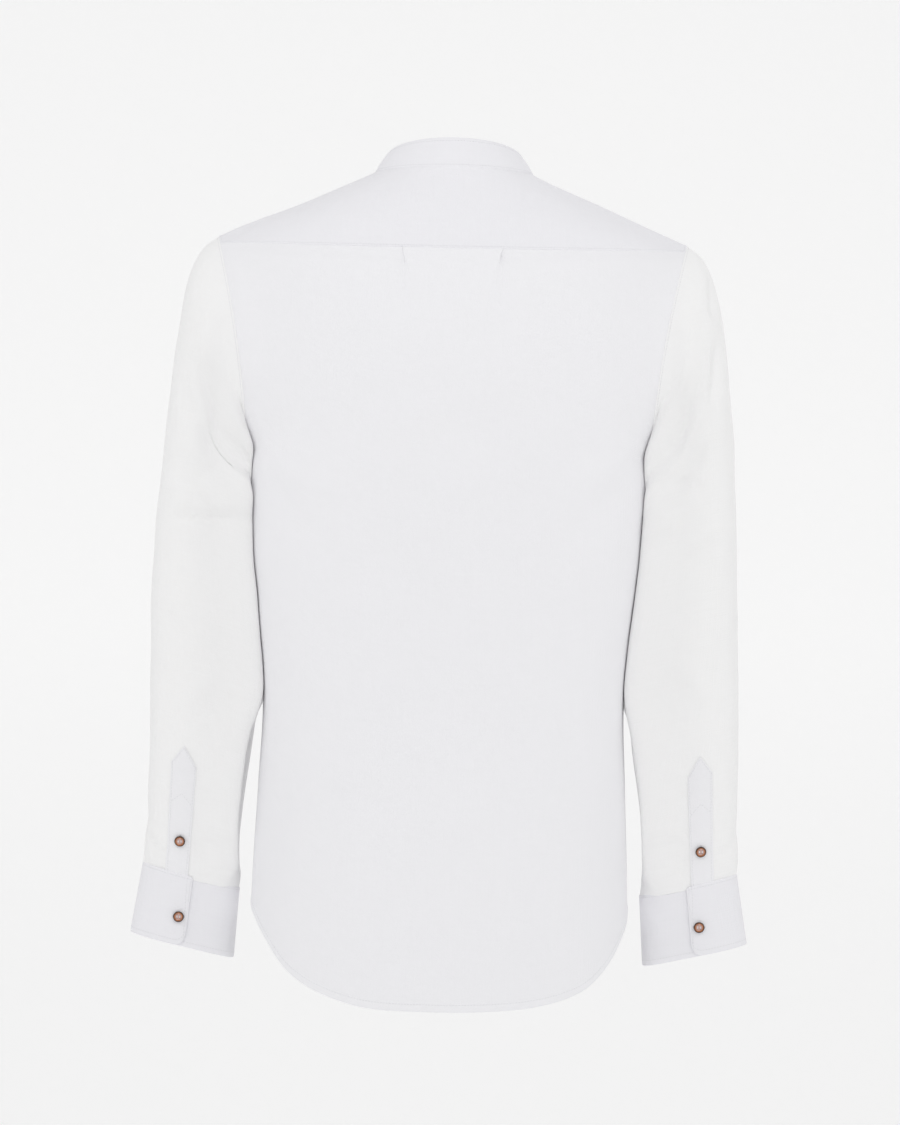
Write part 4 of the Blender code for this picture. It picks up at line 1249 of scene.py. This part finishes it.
def front_cloths():
    """The left and the right front, draped and hemmed. The left one stands out at its edge to lap over
    the right."""
    thick, _, groove, share = cloth_sizes()
    left = Cloth("front_left", front_grid(), thick)
    right = left.mirrored("front_right")
    start, width = LAP_EASE
    left.points[..., 1] -= LAP_RISE * (1 - ease((left.points[..., 0] - start) / width))
    left.normals = normals_of(left.points)
    for cloth, lap, side in ((left, "first", "last"), (right, "last", "first")):
        cloth.drape(share, **{lap: AT_LAP, side: AT_SIDE, "top": AT_SEAM})
        hem(cloth)
        cloth.pull_back(groove, side, "top")
    return left, right


def body_side(side, y, z):
    """How far out the finished body reaches on one side at each y and z: the mean of its points, each
    weighted by a bell of its distance."""
    cloths = (back_cloth(), *front_cloths())
    points = np.concatenate([cloth.points.reshape(-1, 3) for cloth in cloths]) * [side, 1, 1]
    out, deep, low = BESIDE_SLEEVE
    points = points[(points[:, 0] > out) & (abs(points[:, 1]) < deep) & (points[:, 2] > low)]
    far = (y[:, None] - points[:, 1]) ** 2 + (z[:, None] - points[:, 2]) ** 2
    weight = np.exp(-far / (2 * PRESS_BELL**2))
    return weight @ points[:, 0] / weight.sum(axis=1)


def press(sleeve, side, share):
    """Moves the sleeve towards the body by its share of the gap to it, less the room left. Below where
    they part, its inner side is flat instead, and stands off its innermost point by a little that fades
    out towards the cuff."""
    out, y, z = sleeve.points[..., 0] * side, sleeve.points[..., 1], sleeve.points[..., 2]
    parting, apart, end = PRESS_HEIGHTS
    share = share * ease((z - end) / PRESS_END)
    near = share > PRESS_LEAST
    free = ease((parting - z) / (parting - apart))[near]
    own = np.broadcast_to(out.min(axis=1, keepdims=True), out.shape)[near]
    above_end = z[near] - end
    growing = ease((apart + PARTED_START - z[near]) / PARTED_GROWTH)
    parted = PARTED[side] * np.clip(above_end / PARTED_REACH, 0, 1) * growing
    corner = np.where(share > PRESS_FULL, y, -np.inf).max(axis=1, keepdims=True)
    sloping = PARTED_SLOPE * np.clip(corner - y, 0, PARTED_DEPTH)[near] * ease(above_end / PARTED_GROWTH)
    against = body_side(side, y[near], z[near]) + PRESS_ROOM
    goal = free * (own + parted + sloping) + (1 - free) * against
    sleeve.points[near, 0] -= side * share[near] * np.clip(out[near] - goal, -PRESS_MOST * free, PRESS_MOST)
    sleeve.normals = normals_of(sleeve.points, wraps=True)


class SHIRT_OT_back(bpy.types.Operator):
    """Builds the back panel with its two knife pleats and its curved, hemmed tail"""

    bl_idname = "shirt.back"
    bl_label = "Back"

    def execute(self, context):
        back = back_cloth()
        add_cloth(back, linen("body"), "back", back.inset("bottom", HEM_STITCH))
        return {"FINISHED"}


class SHIRT_OT_yoke(bpy.types.Operator):
    """Builds the yoke over both shoulders"""

    bl_idname = "shirt.yoke"
    bl_label = "Yoke"

    def execute(self, context):
        thick, _, groove, share = cloth_sizes()
        yoke = Cloth("yoke", yoke_grid(), thick)
        yoke.drape(share * YOKE_SHARE, first=AT_SEAM, last=AT_SEAM, top=AT_SEAM, bottom=AT_SEAM)
        yoke.lift(YOKE_RISE * (1 - ease(yoke.edge_distance("bottom") / YOKE_RISE_REACH)))
        yoke.pull_back(groove, "first", "last", "top", "bottom")
        lines = [yoke.inset(edge, EDGE_STITCH) for edge in ("bottom", "first", "last")]
        add_cloth(yoke, linen("stiff"), "yoke", *lines)
        return {"FINISHED"}


class SHIRT_OT_fronts(bpy.types.Operator):
    """Builds both fronts, the left one lapping over the right, with their turned edges and buttons"""

    bl_idname = "shirt.fronts"
    bl_label = "Fronts"

    def execute(self, context):
        left, right = front_cloths()
        for cloth, lap, side in ((left, "first", "last"), (right, "last", "first")):
            rows = {"bottom": HEM_STITCH, lap: FRONT_STITCH, side: EDGE_STITCH}
            lines = [cloth.inset(edge, distance) for edge, distance in rows.items()]
            add_cloth(cloth, linen("body"), "front", *lines)
        for node in sorted(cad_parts):
            if node.startswith("button_front"):
                add_button(node, left, upright=True)
        return {"FINISHED"}


class SHIRT_OT_collar_band(bpy.types.Operator):
    """Builds the collar band, open at the throat, with its button"""

    bl_idname = "shirt.collar_band"
    bl_label = "Collar band"

    def execute(self, context):
        _, stiff, groove, _ = cloth_sizes()
        band = Cloth("collar_band", band_grid(), stiff)
        band.pull_back(groove, "bottom")
        lines = [band.inset("bottom", EDGE_STITCH), band.inset("top", BAND_TOP_STITCH)]
        add_cloth(band, linen("stiff"), "collar_band", *lines)
        add_button("button_collar", band, upright=False)
        return {"FINISHED"}


class SHIRT_OT_sleeves(bpy.types.Operator):
    """Builds both sleeves with their gauntlets and gauntlet buttons"""

    bl_idname = "shirt.sleeves"
    bl_label = "Sleeves"

    def execute(self, context):
        thick, _, groove, share = cloth_sizes()
        tube, strip, bulge = sleeve_patch(*sleeve_lines(), wraps=True), gauntlet_grid(), press_share()
        for side, sign in (("left", 1), ("right", -1)):
            if side == "right":
                tube, strip, bulge = (tube * MIRROR)[:, ::-1], (strip * MIRROR)[:, ::-1], bulge[:, ::-1]
            sleeve = Cloth("sleeve_" + side, tube, thick, wraps=True)
            sleeve.drape(share, top=AT_SIDE, bottom=AT_SEAM)
            press(sleeve, sign, bulge)
            sleeve.pull_back(groove, "top", "bottom")
            add_cloth(sleeve, linen("sleeve"), "sleeve", sleeve.inset("top", EDGE_STITCH))
            gauntlet = Cloth(sleeve.name, strip, thick * GAUNTLET_SHARE)
            gauntlet.drape(share, bottom=AT_SEAM)
            gauntlet.lift(GAUNTLET_LIFT)
            gauntlet.name = "gauntlet_" + side
            lines = [gauntlet.inset(edge, GAUNTLET_STITCH) for edge in ("first", "last", "top")]
            row = int(np.argmin(abs(np.linspace(0, 1, len(strip)) - GAUNTLET_BOX / GAUNTLET_TOP)))
            lines.append((gauntlet.points[row, 1:-1], gauntlet.normals[row, 1:-1]))
            add_cloth(gauntlet, linen("body"), "gauntlet", *lines)
            add_button("button_gauntlet_" + side, gauntlet, upright=True)
        return {"FINISHED"}


class SHIRT_OT_cuffs(bpy.types.Operator):
    """Builds both cuffs with their laps and buttons"""

    bl_idname = "shirt.cuffs"
    bl_label = "Cuffs"

    def execute(self, context):
        _, stiff, _, _ = cloth_sizes()
        left = Cloth("cuff_left", cuff_grid(), stiff)
        for cuff in (left, left.mirrored("cuff_right")):
            lines = [cuff.inset("top", EDGE_STITCH), cuff.inset("bottom", CUFF_STITCH)]
            lines += [cuff.inset(edge, CUFF_STITCH) for edge in ("first", "last")]
            add_cloth(cuff, linen("stiff"), "cuff", *lines)
            add_button("button_" + cuff.name, cuff, upright=False)
        return {"FINISHED"}


# ---------------------------------------------------------------- stage

CAMERA_AWAY = 4.0
CAMERA_X, CAMERA_Z = -0.0034, -0.3565
FRAME_HEIGHT = 1.035  # of the photograph, at the shirt's middle
CAMERA_ROLL = math.radians(1.2)
SENSOR = 36.0
FLOOR_Z, FLOOR_BACK, FLOOR_REACH, FLOOR_BEND, FLOOR_WALL = -1.7, -4.4, 6.0, 1.2, 5.0
FLOOR_GLOW = 0.247
WORLD_STRENGTH = 0.65
LIGHTS = {  # place, aim, size across and up, watts
    "softbox_left": ((2.2, 0.7, 1.0), (0.05, 0, -0.3), (1.2, 1.2), 7.4),
    "softbox_right": ((-2.2, 0.7, 1.0), (-0.05, 0, -0.3), (1.2, 1.2), 7.4),
    "softbox_back_left": ((0.7, 2.5, 1.4), (0, 0, -0.3), (1.1, 1.1), 8.9),
    "softbox_back_right": ((-0.7, 2.5, 1.4), (0, 0, -0.3), (1.1, 1.1), 8.9),
    "softbox_front": ((-0.6, -2.4, 0.6), (0, 0, -0.4), (1.6, 1.6), 9),
}


def sweep_points():
    """The studio sheet: a flat floor, a quarter circle up, and a wall behind, carried across."""
    turn = np.linspace(0, np.pi / 2, 16)
    y = np.concatenate([[FLOOR_REACH], FLOOR_BACK - FLOOR_BEND * np.sin(turn), [FLOOR_BACK - FLOOR_BEND]])
    z = np.concatenate([[FLOOR_Z], FLOOR_Z + FLOOR_BEND * (1 - np.cos(turn)), [FLOOR_Z + FLOOR_WALL]])
    x = np.array([-FLOOR_REACH, FLOOR_REACH])
    return points_of(x[None, :], y[:, None], z[:, None]) / MM


class SHIRT_OT_stage(bpy.types.Operator):
    """Sets up the studio sheet, the softboxes and the camera at the photograph's angle"""

    bl_idname = "shirt.stage"
    bl_label = "Stage"

    def execute(self, context):
        scene = context.scene
        grid = sweep_points()
        r, c = grid_faces(*grid.shape[:2], False)
        mesh = make_mesh("studio_sheet", grid.reshape(-1, 3), [(r * grid.shape[1] + c)[:, ::-1]])
        mesh.materials.append(floor_material())
        sheet = bpy.data.objects.new("studio_sheet", mesh)
        scene.collection.objects.link(sheet)

        scene.world = scene.world or bpy.data.worlds.new("studio")
        scene.world.use_nodes = True
        background = scene.world.node_tree.nodes["Background"]
        background.inputs["Color"].default_value = (1, 1, 1, 1)
        background.inputs["Strength"].default_value = WORLD_STRENGTH

        for name, (place, aim, (across, up), watts) in LIGHTS.items():
            light = bpy.data.lights.new(name, "AREA")
            light.shape, light.size, light.size_y, light.energy = "RECTANGLE", across, up, watts
            lamp = bpy.data.objects.new(name, light)
            way = np.subtract(aim, place)
            side = unit(np.cross(way, (0, 0, 1)))
            lamp.matrix_world = turned(side, np.cross(side, unit(way)), -unit(way), place)
            scene.collection.objects.link(lamp)

        camera = bpy.data.objects.new("camera", bpy.data.cameras.new("camera"))
        camera.data.sensor_width = SENSOR
        camera.data.lens = SENSOR * CAMERA_AWAY / FRAME_HEIGHT
        cosine, sine = math.cos(CAMERA_ROLL), math.sin(CAMERA_ROLL)
        place = (CAMERA_X, CAMERA_AWAY, CAMERA_Z)
        camera.matrix_world = turned((-cosine, 0, sine), (sine, 0, cosine), (0, 1, 0), place)
        scene.collection.objects.link(camera)
        scene.camera = camera
        scene.view_settings.view_transform = "Standard"
        return {"FINISHED"}


def turned(side, up, back, place):
    """A matrix from three axes and a place."""
    return Matrix(np.vstack([np.column_stack([side, up, back, place]), [0, 0, 0, 1]]).tolist())


class SHIRT_PT_panel(bpy.types.Panel):
    """Lists the shirt's sizes, colours and pieces"""

    bl_label = "Mandarin collar shirt"
    bl_idname = "SHIRT_PT_panel"
    bl_space_type = "VIEW_3D"
    bl_region_type = "UI"
    bl_category = "Shirt"

    def draw(self, context):
        for group in (context.scene.shirt_sizes, context.scene.shirt_colours):
            box = self.layout.box()
            for name in type(group).__annotations__:
                box.prop(group, name)
        for operator in OPERATORS:
            self.layout.operator(operator.bl_idname)


OPERATORS = (
    SHIRT_OT_stage,
    SHIRT_OT_back,
    SHIRT_OT_yoke,
    SHIRT_OT_fronts,
    SHIRT_OT_collar_band,
    SHIRT_OT_sleeves,
    SHIRT_OT_cuffs,
)
CLASSES = (ShirtSizes, ShirtColours, *OPERATORS, SHIRT_PT_panel)


def register():
    for made in CLASSES:
        bpy.utils.register_class(made)
    bpy.types.Scene.shirt_sizes = PointerProperty(type=ShirtSizes)
    bpy.types.Scene.shirt_colours = PointerProperty(type=ShirtColours)


def unregister():
    del bpy.types.Scene.shirt_sizes
    del bpy.types.Scene.shirt_colours
    for made in reversed(CLASSES):
        bpy.utils.unregister_class(made)


def main():
    register()
    for operator in OPERATORS:
        getattr(bpy.ops.shirt, operator.bl_idname.removeprefix("shirt."))()
    bpy.context.view_layer.update()


if __name__ == "__main__":
    main()
